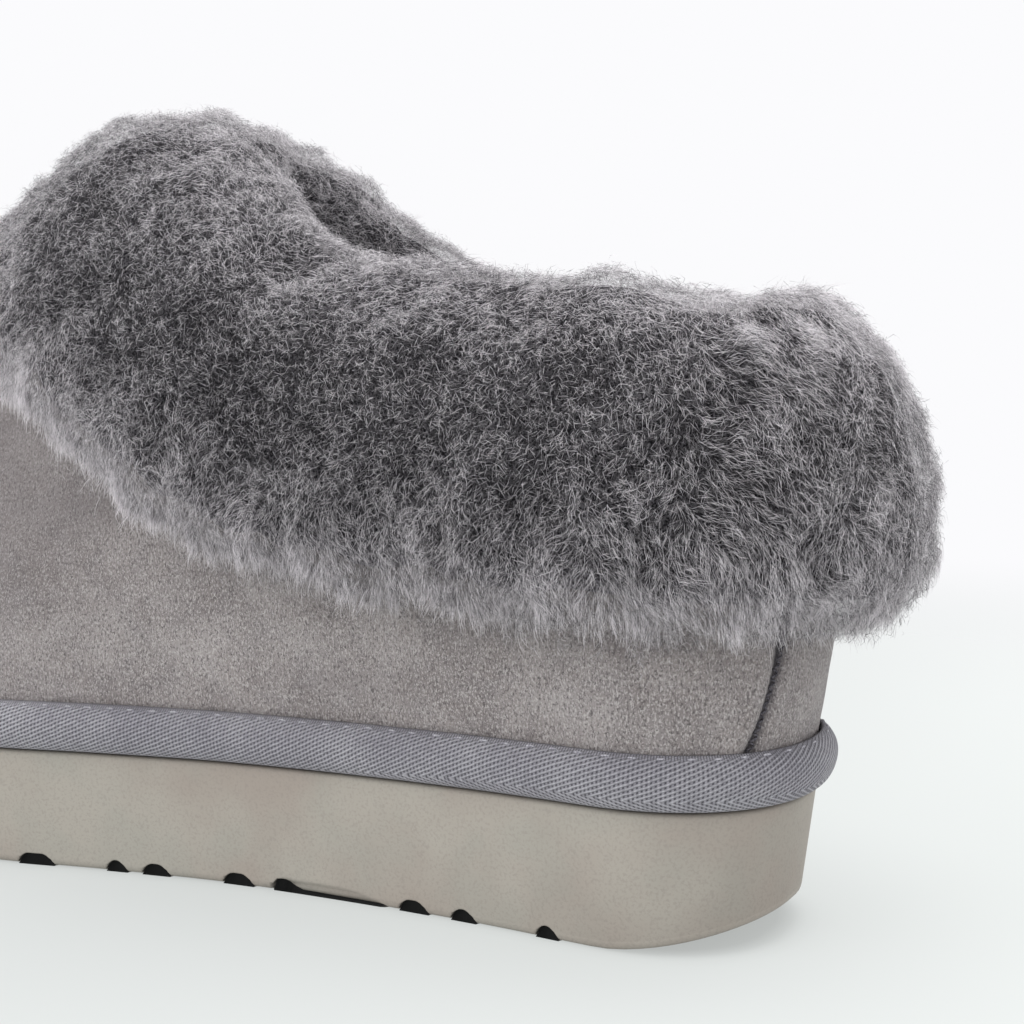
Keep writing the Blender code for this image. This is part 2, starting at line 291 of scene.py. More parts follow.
def rim_edge(turns):
    """The upper's topline as a closed loop, and the stations of its points."""
    share = stations_at(turns) / SOLE_LENGTH
    share = share + RIM_SHIFT * np.sin(math.pi * share)
    stations = RIM_BACK + (RIM_FRONT - RIM_BACK) * share
    inner = RIM_TABLE.at("inner", stations)
    outer = RIM_TABLE.at("outer", stations)
    width = np.where(turns <= math.pi, inner, -outer)
    width = width * end_round(stations - RIM_BACK, RIM_BACK_ROUND)
    width = width * end_round(RIM_FRONT - stations, RIM_FRONT_ROUND)
    heights = RIM_TABLE.at("height", stations)
    return place(stations, width, heights), stations


def rim_direction(stations):
    lean = FRONT_LEAN * smooth_step(stations, LEAN_FROM, RIM_FRONT)
    return np.stack([np.zeros(len(lean)), np.sin(lean), np.cos(lean)], axis=-1)


def wall_surface(turns, shares):
    """The upper's outer surface, from the sole (share 0) to the topline (share 1): [around, up, xyz]."""
    stations = stations_at(turns)
    edge = sole_edge(turns)
    out = outward(edge)
    foot = edge - out * WALL_INSET * MM + np.array([0, 0, GAP * MM])
    rim, rim_stations = rim_edge(turns)
    foot_pull = RISE_TABLE.at("foot_pull", stations)[:, None] * MM
    lean = RISE_TABLE.at("lean", stations)[:, None] * MM
    rim_pull = RISE_TABLE.at("rim_pull", stations)[:, None] * MM
    low = foot + np.array([0, 0, 1]) * foot_pull + out * lean
    high = rim - rim_direction(rim_stations) * rim_pull
    s = np.asarray(shares, float)[None, :, None]
    foot, low, high, rim = (points[:, None, :] for points in (foot, low, high, rim))
    return (1 - s) ** 3 * foot + 3 * s * (1 - s) ** 2 * low + 3 * s**2 * (1 - s) * high + s**3 * rim


def surface_normals(grid):
    """Unit normals of a [around, up, xyz] surface, pointing out of the shoe."""
    around = np.roll(grid, -1, axis=0) - np.roll(grid, 1, axis=0)
    up = np.gradient(grid, axis=1)
    normal = np.cross(around, up)
    normal /= np.linalg.norm(normal, axis=-1, keepdims=True)
    return normal * np.sign((normal * (grid - grid.mean(axis=(0, 1)))).sum())


def read_line(value, values, points):
    """The point of a line, or several, at a value, from the rising values at the line's points."""
    return np.stack([np.interp(value, values, points[:, axis]) for axis in range(3)], axis=-1)


def along_wall(fine, fine_normals, distance):
    """Points and normals at a distance down each line of the surface from the topline, in metres."""
    lengths = np.linalg.norm(np.diff(fine, axis=1), axis=-1)
    below = np.cumsum(lengths[:, ::-1], axis=1)
    below = np.concatenate([np.zeros((len(fine), 1)), below], axis=1)
    points, normals = (
        np.array([read_line(*line) for line in zip(distance, below, grid[:, ::-1])])
        for grid in (fine, fine_normals)
    )
    return points, normals / np.linalg.norm(normals, axis=1, keepdims=True)


def at_height(fine, heights, grid=None):
    """Points where each line of a surface passes these heights, in metres, or another grid's values there."""
    lines = zip(heights, fine, fine if grid is None else grid)
    return np.array([read_line(height, line[:, 2], values) for height, line, values in lines])


def spline_rows(rows, steps):
    """Finer rows along a smooth curve through the given rows; each is [around, xyz]."""
    rows = np.asarray(rows)
    before = np.concatenate([rows[:1], rows[:-1]])
    after = np.concatenate([rows[1:], rows[-1:]])
    slopes = (after - before) / 2
    slopes[0] *= 2
    slopes[-1] *= 2
    made = []
    for i in range(len(rows) - 1):
        for s in np.arange(steps) / steps:
            made.append(curve_between(s, rows[i], rows[i + 1], slopes[i], slopes[i + 1]))
    made.append(rows[-1])
    return np.array(made)


# ---- meshes

def grid_mesh(name, rows, is_tube, uv=None, values=None):
    """A mesh over closed rows of points [row, around, xyz]; a tube joins its last row to its first.
    uv is [row, around + 1, 2], and values are named numbers for each point."""
    count_rows, count = rows.shape[:2]
    last = count_rows if is_tube else count_rows - 1
    row, col = np.meshgrid(np.arange(last), np.arange(count), indexing="ij")
    row, col = row.ravel(), col.ravel()
    next_row, next_col = (row + 1) % count_rows, (col + 1) % count
    corners = (row, col), (row, next_col), (next_row, next_col), (next_row, col)
    quads = np.stack([r * count + c for r, c in corners], 1)
    mesh = raw_mesh(name, rows.reshape(-1, 3), quads)
    if uv is not None:
        layer = mesh.uv_layers.new(name="Weave")
        spots = np.stack([uv[row, col], uv[row, col + 1], uv[row + 1, col + 1], uv[row + 1, col]], 1)
        layer.data.foreach_set("uv", spots.reshape(-1).astype(np.float32))
    for key, numbers in (values or {}).items():
        attribute = mesh.attributes.new(key, "FLOAT", "POINT")
        attribute.data.foreach_set("value", numbers.reshape(-1).astype(np.float32))
    return mesh


def raw_mesh(name, points, faces):
    """A mesh from an array of points and an array of faces, all with the same number of corners."""
    mesh = bpy.data.meshes.new(name)
    mesh.vertices.add(len(points))
    mesh.vertices.foreach_set("co", np.ascontiguousarray(points, np.float32).reshape(-1))
    mesh.loops.add(faces.size)
    mesh.loops.foreach_set("vertex_index", np.ascontiguousarray(faces, np.int32).reshape(-1))
    mesh.polygons.add(len(faces))
    mesh.polygons.foreach_set("loop_start", np.arange(len(faces), dtype=np.int32) * faces.shape[1])
    mesh.update(calc_edges=True)
    mesh.validate()
    return mesh


def copies_mesh(name, points, faces):
    """One mesh of many like parts, from points [part, point, xyz] and the faces of one part."""
    starts = np.arange(len(points))[:, None, None] * points.shape[1]
    return raw_mesh(name, points.reshape(-1, 3), (np.array(faces) + starts).reshape(-1, 3))


def put(name, data):
    """A new object in the scene."""
    made = bpy.data.objects.new(name, data)
    bpy.context.scene.collection.objects.link(made)
    return made


def piece(name, mesh, look, smooth=True):
    """Puts a mesh in the scene as a piece of the slipper."""
    made = put(name, mesh)
    mesh.materials.append(look)
    if smooth:
        mesh.shade_smooth()
    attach(made, "root")
    return made


def make_outward(mesh):
    """Turns the faces of a closed mesh to point out."""
    mesh.calc_loop_triangles()
    points = np.empty(len(mesh.vertices) * 3, np.float32)
    mesh.vertices.foreach_get("co", points)
    corners = np.empty(len(mesh.loop_triangles) * 3, np.int32)
    mesh.loop_triangles.foreach_get("vertices", corners)
    triangles = points.reshape(-1, 3)[corners.reshape(-1, 3)]
    if np.linalg.det(triangles).sum() < 0:
        mesh.flip_normals()
    return mesh


# ---- colours, linear

SUEDE_SHADED = (0.246, 0.222, 0.220)
SUEDE_BRUSHED = (0.382, 0.350, 0.343)
SUEDE_WARM = (0.30, 0.262, 0.247)
SUEDE_LIGHT = (0.44, 0.415, 0.405)
# painted shadow just under the cuff, and darker patches of the suede
SUEDE_DARK = (0.15, 0.132, 0.134)
SUEDE_PIT = (0.10, 0.088, 0.089)
SUEDE_TIP = (0.60, 0.565, 0.555)
SUEDE_SEAM = (0.05, 0.045, 0.055)
TAPE_DARK = (0.335, 0.326, 0.362)
TAPE_LIGHT = (0.42, 0.412, 0.445)
TAPE_GLINT = (0.56, 0.55, 0.585)
TAPE_GAP = (0.07, 0.066, 0.08)
TAPE_EDGE_SHADOW = (0.02, 0.018, 0.018)  # painted shadow along the tape's lower edge, where it meets the sole
FOAM_WARM = (0.364, 0.318, 0.277)
FOAM_PALE = (0.412, 0.382, 0.334)
FOAM_COOL = (0.345, 0.342, 0.30)
FOAM_GRAIN = (0.26, 0.235, 0.21)
# painted shade: near black in the channels, darker under the sole, along its lower edge and in the arch's
# hollow
FOAM_PAINTED_SHADE = (0.004, 0.004, 0.004)
SEAM_THREAD_DARK = (0.04, 0.037, 0.045)
SEAM_THREAD_LIGHT = (0.13, 0.122, 0.14)
TAPE_THREAD_DARK = (0.26, 0.25, 0.29)
TAPE_THREAD_LIGHT = (0.56, 0.55, 0.59)
# Strands run from root to tip colours; the dark roots are painted shade down among the strands.
FUR_ROOT_DARK = (0.012, 0.0112, 0.013)
FUR_ROOT_LIGHT = (0.12, 0.114, 0.124)
FUR_TIP_DARK = (0.028, 0.0265, 0.030)
FUR_TIP_LIGHT = (0.965, 0.93, 0.955)
FUR_THROUGH = 0.45  # share of the light that a strand lets through
# matted wool under the strands: its dark colours are painted shade down among the strands
PILE_DARK = (0.011, 0.0104, 0.012)
PILE_LIGHT = (0.13, 0.124, 0.134)
WOOL_DARK = (0.08, 0.075, 0.084)
WOOL_LIGHT = (0.36, 0.343, 0.37)
FLEECE_LIGHT = (0.42, 0.40, 0.43)
FLOOR_DARK = (0.165, 0.17, 0.168)
FLOOR_LIGHT = (0.175, 0.18, 0.178)
# the floor glows, painted light that keeps its shadows soft
FLOOR_GLOW = (0.965, 1.0, 0.985)
STUDIO = (0.965, 0.965, 0.982)
TONES = 24  # steps of brightness in the strands' colours

# ---- node helpers

class Look:
    """A Principled material and short ways to add nodes to it."""

    def __init__(self, name, **plain):
        self.material = bpy.data.materials.new(name)
        self.material.use_nodes = True
        self.tree = self.material.node_tree
        self.shader = self.tree.nodes["Principled BSDF"]
        for key, value in plain.items():
            self.shader.inputs[key.replace("_", " ")].default_value = value

    def node(self, kind, **given):
        """A new node. A capitalised name feeds one of its inputs, and a plain one is a setting."""
        made = self.tree.nodes.new("ShaderNode" + kind)
        for key, value in given.items():
            if key[0].isupper():
                self.feed(made.inputs[key.replace("_", " ")], value)
            else:
                setattr(made, key, value)
        return made

    def feed(self, socket, value):
        """Links an output to the socket, or sets a plain value on it."""
        if isinstance(value, bpy.types.NodeSocket):
            self.tree.links.new(value, socket)
        else:
            socket.default_value = value

    def position(self, scale=(1.0, 1.0, 1.0)):
        """Object coordinates, in metres, stretched by a scale."""
        return self.node("Mapping", Vector=self.node("TexCoord").outputs["Object"], Scale=scale).outputs[0]

    def parts(self, vector):
        return self.node("SeparateXYZ", Vector=vector).outputs

    def attribute(self, name):
        return self.node("Attribute", attribute_name=name).outputs["Fac"]

    def noise(self, vector, scale, detail=2.0, rough=0.5, distortion=0.0):
        made = self.node(
            "TexNoise", Vector=vector, Scale=scale, Detail=detail, Roughness=rough, Distortion=distortion
        )
        return made.outputs["Fac"]

    def math(self, operation, a, b=0.0):
        made = self.node("Math", operation=operation)
        self.feed(made.inputs[0], a)
        self.feed(made.inputs[1], b)
        return made.outputs[0]

    def times(self, a, b):
        return self.math("MULTIPLY", a, b)

    def span(self, value, low, high, out_low=0.0, out_high=1.0):
        """Maps a range of values to another, clamped, with soft ends."""
        made = self.node(
            "MapRange", interpolation_type="SMOOTHSTEP",
            Value=value, From_Min=low, From_Max=high, To_Min=out_low, To_Max=out_high,
        )
        return made.outputs[0]

    def mix(self, share, a, b):
        """A colour between two others, which are outputs or plain colours."""
        made = self.node("Mix", data_type="RGBA")
        for index, value in (0, share), (6, a), (7, b):
            self.feed(made.inputs[index], (*value, 1.0) if isinstance(value, tuple) else value)
        return made.outputs[2]

    def bump(self, height, distance, strength=1.0, **below):
        return self.node("Bump", Height=height, Distance=distance, Strength=strength, **below).outputs[0]

    def finish(self, color, normal=None):
        self.feed(self.shader.inputs["Base Color"], color)
        if normal is not None:
            self.feed(self.shader.inputs["Normal"], normal)
        return self.material


# ---- materials

def suede_look():
    """Suede with a fine short nap and soft patches lightened by the brush, darker along the heel seams, with
    painted shadow just under the cuff.
    """
    look = Look("suede", Roughness=0.95, Sheen_Weight=0.2, Sheen_Roughness=0.5, Specular_IOR_Level=0.15)
    here = look.position()
    nap_place = look.position((1.0, 1.0, 0.6))
    patches = look.noise(here, 55, 3, 0.55, 0.6)
    mottle = look.noise(here, 190, 2, 0.5)
    nap = look.noise(nap_place, 2150, 3, 0.75)
    tips = look.noise(nap_place, 2700, 2, 0.75, 0.2)
    color = look.mix(look.span(patches, 0.32, 0.68), SUEDE_SHADED, SUEDE_BRUSHED)
    color = look.mix(look.span(mottle, 0.3, 0.7, 0.0, 0.4), color, SUEDE_WARM)
    color = look.mix(look.attribute("brush"), color, SUEDE_LIGHT)
    color = look.mix(look.span(nap, 0.36, 0.52, 0.85, 0.0), color, SUEDE_PIT)
    color = look.mix(look.span(tips, 0.49, 0.65, 0.0, 0.8), color, SUEDE_TIP)
    # Painted shadow just under the cuff, and darker patches elsewhere.
    color = look.mix(look.attribute("shade"), color, SUEDE_DARK)
    color = look.mix(look.attribute("seam"), color, SUEDE_SEAM)
    color = look.mix(look.attribute("inside"), color, look.mix(nap, WOOL_DARK, WOOL_LIGHT))
    fine = look.bump(nap, 0.0005, 1.0)
    return look.finish(color, look.bump(patches, 0.001, 0.25, Normal=fine))


def tape_look():
    """Herringbone twill: ribs of small dots whose slant turns back along a line near the lower edge.
    The map counts ribs along u and yarns along v; the selvedge is the plain upper edge."""
    look = Look("twill_tape", Roughness=0.85, Specular_IOR_Level=0.25, Sheen_Weight=0.1)
    ribs, yarns, _ = look.parts(look.node("UVMap", uv_map="Weave").outputs[0])
    here = look.position()
    wobble = look.times(look.math("SUBTRACT", look.noise(here, 500, 1, 0.5), 0.5), 0.35)
    rib = look.math("SINE", look.times(look.math("ADD", ribs, wobble), 2 * math.pi))
    yarn = look.math("SINE", look.times(yarns, 2 * math.pi))
    tick = look.math("SINE", look.times(yarns, 3 * math.pi))
    ridge = look.span(rib, -0.8, 0.9)
    dots = look.times(look.span(rib, 0.3, -0.8), look.span(yarn, 0.4, -0.6, 0.22, 1.0))
    glints = look.times(look.span(rib, 0.1, 0.9), look.span(yarn, -0.2, 0.8))
    selvedge = look.attribute("selvedge")
    fuzz = look.noise(here, 1400, 2, 0.6)
    patches = look.noise(here, 60, 2, 0.5)
    color = look.mix(look.span(patches, 0.3, 0.7), TAPE_DARK, TAPE_LIGHT)
    woven = look.mix(look.times(glints, 0.5), color, TAPE_GLINT)
    woven = look.mix(look.times(dots, 0.92), woven, TAPE_GAP)
    ticks = look.mix(look.span(tick, -0.7, 0.2, 0.7, 0.0), color, TAPE_GAP)
    color = look.mix(selvedge, woven, ticks)
    color = look.mix(look.span(fuzz, 0.35, 0.6, 0.3, 0.0), color, TAPE_GAP)
    # Painted shadow along the tape's lower edge, where it meets the sole.
    color = look.mix(look.attribute("painted_edge_shadow"), color, TAPE_EDGE_SHADOW)
    height = look.math("SUBTRACT", ridge, look.times(dots, 0.8))
    return look.finish(color, look.bump(height, 0.00035, 0.8))


def foam_look():
    """Matte foam rubber with faint mottling; painted shade darkens it under the sole and along its lower
    edge, turns its channels black and shades the arch's hollow, and it is darker at the foot of the wall
    round the heel.
    """
    look = Look("sole_foam", Roughness=0.62, Specular_IOR_Level=0.3)
    here = look.position()
    clouds = look.noise(here, 32, 3, 0.5)
    warm = look.noise(here, 75, 2, 0.5)
    grain = look.noise(here, 1600, 2, 0.6)
    color = look.mix(look.span(clouds, 0.33, 0.67), FOAM_WARM, FOAM_PALE)
    color = look.mix(look.span(warm, 0.4, 0.7, 0.0, 0.35), color, FOAM_COOL)
    color = look.mix(look.span(grain, 0.3, 0.55, 0.34, 0.0), color, FOAM_GRAIN)
    # Painted shade: black in the channels, darker under the sole, along its lower edge and in the arch's
    # hollow.
    color = look.mix(look.attribute("painted_shade"), color, FOAM_PAINTED_SHADE)
    return look.finish(color, look.bump(grain, 0.0001, 0.4))


def thread_look(name, dark, light):
    look = Look(name, Roughness=0.6, Specular_IOR_Level=0.3)
    here = look.position()
    twist = look.noise(here, 2600, 1, 0.5)
    color = look.mix(look.span(twist, 0.35, 0.65), dark, light)
    return look.finish(color, look.bump(twist, 0.0001, 0.6))


def pile_look(name, dark, light):
    """The matted wool that shows between the strands."""
    look = Look(name, Roughness=1.0, Specular_IOR_Level=0.05)
    here = look.position()
    curls = look.noise(here, 2300, 2, 0.7, 0.4)
    clouds = look.noise(here, 120, 2, 0.5)
    color = look.mix(look.span(curls, 0.42, 0.62), dark, light)
    color = look.mix(look.span(clouds, 0.35, 0.65, 0.3, 0.0), color, dark)
    hem = look.mix(look.span(curls, 0.4, 0.62), WOOL_DARK, WOOL_LIGHT)
    color = look.mix(look.attribute("hem"), color, hem)
    return look.finish(color, look.bump(curls, 0.0008, 1.0))


def fur_look():
    """Wool strands that let some light through, dark at the root and light at the tip; the dark roots are
    painted shade down among the strands.
    The map's u is the strand's tone, and v runs up it."""
    look = Look("fur_strands", Roughness=0.5, Specular_IOR_Level=0.5)
    tone, along, _ = look.parts(look.node("UVMap", uv_map="OFBake").outputs[0])
    root = look.mix(tone, FUR_ROOT_DARK, FUR_ROOT_LIGHT)
    tip = look.mix(tone, FUR_TIP_DARK, FUR_TIP_LIGHT)
    color = look.mix(look.span(along, 0.25, 0.65), root, tip)
    through = look.node("BsdfTranslucent", Color=color)
    both = look.node("MixShader")
    for socket, value in zip(both.inputs, (FUR_THROUGH, look.shader.outputs[0], through.outputs[0])):
        look.feed(socket, value)
    look.feed(look.tree.nodes["Material Output"].inputs["Surface"], both.outputs[0])
    return look.finish(color)


# ---- fields for the fur

class Field:
    """A smooth random field in space: a sum of waves with a given wavelength in millimetres."""

    def __init__(self, seed, wavelength, waves=14):
        random = np.random.default_rng(seed)
        directions = random.normal(size=(waves, 3))
        directions /= np.linalg.norm(directions, axis=1, keepdims=True)
        lengths = wavelength * random.uniform(0.7, 1.4, size=(waves, 1))
        self.waves = directions * 2 * math.pi / (lengths * MM)
        self.phases = random.uniform(0, 2 * math.pi, size=waves)

    def __call__(self, points):
        """Values of about -1 to 1."""
        return np.sin(points @ self.waves.T + self.phases).sum(axis=1) / math.sqrt(len(self.phases))


def nearest_tuft(points, spacing, seed):
    """The middle of each point's tuft: scattered middles, one in each cube of this spacing in metres."""
    cells = np.floor(points / spacing).astype(np.int64)
    best = np.full(len(points), np.inf)
    middles = np.zeros_like(points)
    for offset in np.ndindex(3, 3, 3):
        cell = cells + np.array(offset) - 1
        mixed = cell[:, 0] * 73856093 ^ cell[:, 1] * 19349663 ^ cell[:, 2] * 83492791 ^ seed
        jitter = np.stack([((mixed * k) % 10007) / 10007.0 for k in (48271, 69621, 39373)], axis=1)
        middle = (cell + jitter) * spacing
        distance = ((points - middle) ** 2).sum(axis=1)
        nearer = distance < best
        best = np.where(nearer, distance, best)
        middles[nearer] = middle[nearer]
    return middles


def unit(vectors):
    return vectors / np.maximum(np.linalg.norm(vectors, axis=-1, keepdims=True), 1e-12)


def grow_strands(name, slot, look, lines, widths, tones, random, foot):
    """A piece of thin leaves along centre lines [strand, step, xyz], pointed at both ends, mapped by tone
    and height. A line of two points makes a single spike. foot is how far up the map a root lies."""
    count, steps = lines.shape[:2]
    tangents = unit(np.gradient(lines, axis=1))
    helper = unit(random.normal(size=(count, 3)))
    inner = []
    for k in range(1, steps - 1) if steps > 2 else [0]:
        half = (widths[:, max(k - 1, 0)] / 2)[:, None] * unit(np.cross(tangents[:, k], helper))
        inner += [lines[:, k] - half, lines[:, k] + half]
    if steps > 2:
        points = np.stack([lines[:, 0], *inner, lines[:, -1]], axis=1)
        level = np.concatenate([[0.0], np.repeat(np.arange(1, steps - 1), 2), [steps - 1]]) / (steps - 1)
        lean = np.concatenate([[0.0], np.tile([-1.0, 1.0], steps - 2), [0.0]])
        faces = [(0, 2, 1)]
    else:
        points = np.stack([*inner, lines[:, -1]], axis=1)
        level = np.array([0.0, 0.0, 1.0])
        lean = np.array([-1.0, 1.0, 0.0])
        faces = []
    per = points.shape[1]
    for k in range(steps - 3):
        a = 1 + 2 * k
        faces += [(a, a + 1, a + 3), (a, a + 3, a + 2)]
    faces.append((per - 3, per - 2, per - 1))
    mesh = copies_mesh(name, points, faces)
    tone_step = (np.clip(np.floor(tones * TONES), 0, TONES - 1) + 0.5) / TONES
    u = tone_step[:, None] + lean[None] * 0.4 / TONES
    v = np.broadcast_to(0.02 + 0.96 * (foot + (1 - foot) * level[None]), u.shape)
    corner = np.stack([u, v], axis=-1)[:, np.array(faces)].reshape(-1, 2)
    layer = mesh.uv_layers.new(name="OFBake")
    layer.data.foreach_set("uv", corner.reshape(-1).astype(np.float32))
    piece(name, mesh, look, smooth=False)


# ---- the fur cuff

CUFF_AROUND = 360
CUFF_STEPS = 8
CUFF_BACK = 0.7  # how far the cuff's back lies off the upper
BITE_LIMIT = 5.0  # how far the hem draws up at most, in millimetres
PILE_INSET, PILE_INSET_TOP = 3.6, 2.5  # how far the matted wool lies inside the envelope
PILE_HEM = (1.0, 0.9, 0.6, 0.4, 0.25, 0.1)  # how light the wool is on its rows from the hem up
TUFT = 1.8  # spacing of the small tufts that the strands gather in
LOCK = 4.4  # spacing of the locks at the hem
FRINGE_STRANDS = 52000
FRINGE_ROOTS = 24.0  # height of the band above the hem that the fringe grows from, in millimetres
FRINGE_HEIGHTS = (0.0, 1.5, 6.0, 13.0, 24.0)  # of the envelope's first rows above the hem
HEM_BAND = (0.04, 0.42)  # climb over which the light band at the hem fades; 0 is the hem, 1 the inner top
CREST_BAND = (0.42, 0.66)  # climb over which the crest begins
HEEL_BAND = (-10, 34)  # stations over which the combing round the heel fades
# Meshes of each kind, strands in each, share of light ones in plain wool, least and greatest width in
# millimetres, and how far up the map the roots lie.
FUR_TABLE = Table("kind lots strands light thin thick foot", (
    ("frizz", 2, 100000, 0.18, 0.064, 0.094, 0.42),
    ("curl", 2, 66000, 0.41, 0.064, 0.092, 0.1),
    ("wavy", 2, 24000, 0.41, 0.064, 0.088, 0.1),
))
HEM_TABLE = Table("station lift", (
    (-6, -0.5),
    (30, -0.4),
    (62, 1.4),
    (92, 3.6),
    (118, 3.6),
    (134, 1.2),
    (146, -1.2),
))
TRIM_TABLE = Table("station side climb long tall out", (
    (107, -1, 0.76, 15, 0.16, -3.6),
    (122, -1, 0.74, 6, 0.12, 2),
    (-10, 0, 0.60, 18, 0.14, -1.6),
    (160, 1, 0.50, 30, 0.14, 1.8),
    (140, 0, 0.66, 18, 0.12, 2),
    (26, 1, 0.78, 9, 0.10, 1.8),
    (33, 1, 0.72, 5, 0.08, 0.8),
    (12, 1, 0.78, 5, 0.10, -1),
    (54, 1, 0.78, 12, 0.10, 1.2),
    (-1, 0, 0.78, 7, 0.08, 1.4),
    (48, 1, 0.30, 20, 0.10, 0.8),
    (-8, 0, 0.10, 16, 0.10, -2.6),
    (127, -1, 0.77, 3.6, 0.11, -4),
    (114, -1, 0.77, 4, 0.11, -3.4),
    (7, 1, 0.78, 3.6, 0.10, -1.3),
    (-20, 0, 0.50, 8, 0.11, -1.8),
))


def cuff_rows(turns):
    """The cuff's outer rows from hem to inner top, and the rows behind them: [row, around, xyz]."""
    fine = wall_surface(turns, np.linspace(0, 1, 61))
    normals_of = surface_normals(fine)
    rim, stations = rim_edge(turns)
    up = rim_direction(stations)
    rim_normals = normals_of[:, -1]
    length = CUFF_TABLE.at("length", stations) * MM
    length = length - HEM_TABLE.at("lift", stations) * MM
    depth = CUFF_TABLE.at("depth", stations)[:, None] * MM
    crown = CUFF_TABLE.at("rise", stations)[:, None] * MM

    def skirt(down, reach, share):
        """A row at a share of the cuff's length down the upper, standing off it by reach times share."""
        points, normals = along_wall(fine, normals_of, length * down)
        return points + normals * reach * share

    front = [skirt(down, depth, out) for down, out in SKIRT_TABLE.rows]
    front += [rim + up * crown * rise + rim_normals * depth * out for rise, out in CROWN_TABLE.rows]
    over = rim + up * CUFF_BACK * MM
    back = [over - rim_normals * (WALL + CUFF_BACK) * MM, over + rim_normals * CUFF_BACK * MM]
    back += [skirt(down, CUFF_BACK, MM) for down in SKIRT_TABLE.column("down")[:0:-1]]
    return np.array(front), np.array(back)


def scatter(grid, count, random, weights=1.0):
    """Random places on a surface [row, around, xyz], as rows and columns with fractions."""
    down = np.linalg.norm(np.diff(grid, axis=0), axis=-1)
    around = steps_round(grid.swapaxes(0, 1)).T
    area = down * (around[:-1] + around[1:]) / 2 * weights
    share = area.ravel().cumsum()
    cell = np.searchsorted(share, random.uniform(0, share[-1], size=count))
    row, col = np.divmod(cell, grid.shape[1])
    return row + random.uniform(size=count), col + random.uniform(size=count)


def read_grid(grid, rows, cols):
    """Values of a grid [row, around, ...] at fractional rows and columns."""
    r = np.minimum(rows.astype(int), grid.shape[0] - 2)
    c = cols.astype(int) % grid.shape[1]
    n = (c + 1) % grid.shape[1]
    fr, fc = (rows - r)[:, None], (cols - np.floor(cols))[:, None]
    low = grid[r, c] * (1 - fc) + grid[r, n] * fc
    high = grid[r + 1, c] * (1 - fc) + grid[r + 1, n] * fc
    return low * (1 - fr) + high * fr


def trimmed(points, normal):
    """The envelope with its listed hollows and swells."""
    stations, across = stations_of(points), across_of(points)
    climb = np.linspace(0, 1, len(points))[:, None]
    out = np.zeros(stations.shape)
    for station, side, at_climb, long, tall, amount in TRIM_TABLE.rows:
        swell = hill((stations - station) / long, (climb - at_climb) / tall) * amount
        out = out + (swell * smooth_step(across * side, -4, 8) if side else swell)
    return points + normal * out[..., None] * MM


def bitten(points):
    """The envelope with an uneven hem: here and there its lowest rows draw up between two locks."""
    stations = stations_of(points[0])
    bite = 1.0 + 1.8 * Field(17, 13)(points[0]) + 1.3 * Field(18, 6)(points[0])
    bite = np.clip(bite, 0, BITE_LIMIT) * smooth_step(stations, -12, 18)
    bite = bite * (1 - 0.7 * smooth_step(stations, 145, 175))
    moved = 4 * CUFF_STEPS
    rows = np.arange(moved)[:, None] + rows_above_hem(bite) * (1 - np.arange(moved)[:, None] / moved)
    cols = np.broadcast_to(np.arange(points.shape[1], dtype=float), rows.shape)
    drawn_up = read_grid(points, rows.ravel(), cols.ravel()).reshape(*rows.shape, 3)
    return np.concatenate([drawn_up, points[moved:]])


class Shell:
    """The cuff's envelope, about which the strands' tips end: a fine grid from the hem to the inner top,
    with unit directions out of it, down it and round it at every point."""

    def __init__(self):
        front, self.back = cuff_rows(even_turns(CUFF_AROUND))
        plain = spline_rows(front, CUFF_STEPS)
        self.points = bitten(trimmed(plain, self.directions(plain)[0]))
        self.normal, down, around = self.directions(self.points)
        self.down = unit(down)
        self.around = unit(around)

    def directions(self, points):
        """Vectors out of the envelope, down it and round it at each of its points."""
        down = -np.gradient(points, axis=0)
        around = np.roll(points, -1, axis=1) - np.roll(points, 1, axis=1)
        normal = unit(np.cross(around, down))
        return normal * np.sign((normal * (points - points.mean(axis=(0, 1)))).sum()), down, around

    def read(self, rows, cols):
        grids = (self.points, self.normal, self.down, self.around)
        point, *directions = (read_grid(grid, rows, cols) for grid in grids)
        return point, *(unit(direction) for direction in directions)


def make_pile(shell):
    """The matted wool under the strands, as one closed ring round the foot; its dark colours are painted
    shade down among the strands, and its rows at the hem have the plain wool's colours.
    """
    inset = np.full(len(shell.points), PILE_INSET)
    inset[-CUFF_STEPS:] = np.linspace(PILE_INSET, PILE_INSET_TOP, CUFF_STEPS)
    rows = (shell.points - shell.normal * inset[:, None, None] * MM)[CUFF_STEPS + 4::2, ::2]
    behind = shell.back[:-1, ::2]
    hem = rows[0] * 0.35 + behind[-1] * 0.65
    rows = np.concatenate([hem[None], rows, behind])
    light = np.zeros(rows.shape[:2])
    light[:len(PILE_HEM)] = np.array(PILE_HEM)[:, None]
    light[-2:] = PILE_HEM[0]
    mesh = make_outward(grid_mesh("fur_pile", rows, is_tube=True, values={"hem": light}))
    pile = piece("fur_pile", mesh, pile_look("fur_pile", PILE_DARK, PILE_LIGHT))
    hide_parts("collar")


def grow_fur(shell, look):
    """Strands all over the cuff in a few joined meshes: short frizz that lies every way, and curls and
    waves that come up through it."""
    seed = 100
    for kind, lots, count, light, thin, thick, foot in FUR_TABLE.rows:
        for lot in range(lots):
            seed += 1
            random = np.random.default_rng(seed)
            strands = fur_strands(shell, kind, count, light, (thin, thick), random)
            grow_strands(f"fur_{kind}_{lot + 1}", "sheepskin", look, *strands, random, foot)


LUMPS, KNOTS, SWIRL = Field(11, 30), Field(16, 11), Field(12, 10)
CURL, SHADE, TINT = Field(13, 4.2), Field(14, 17), Field(15, 3.4)


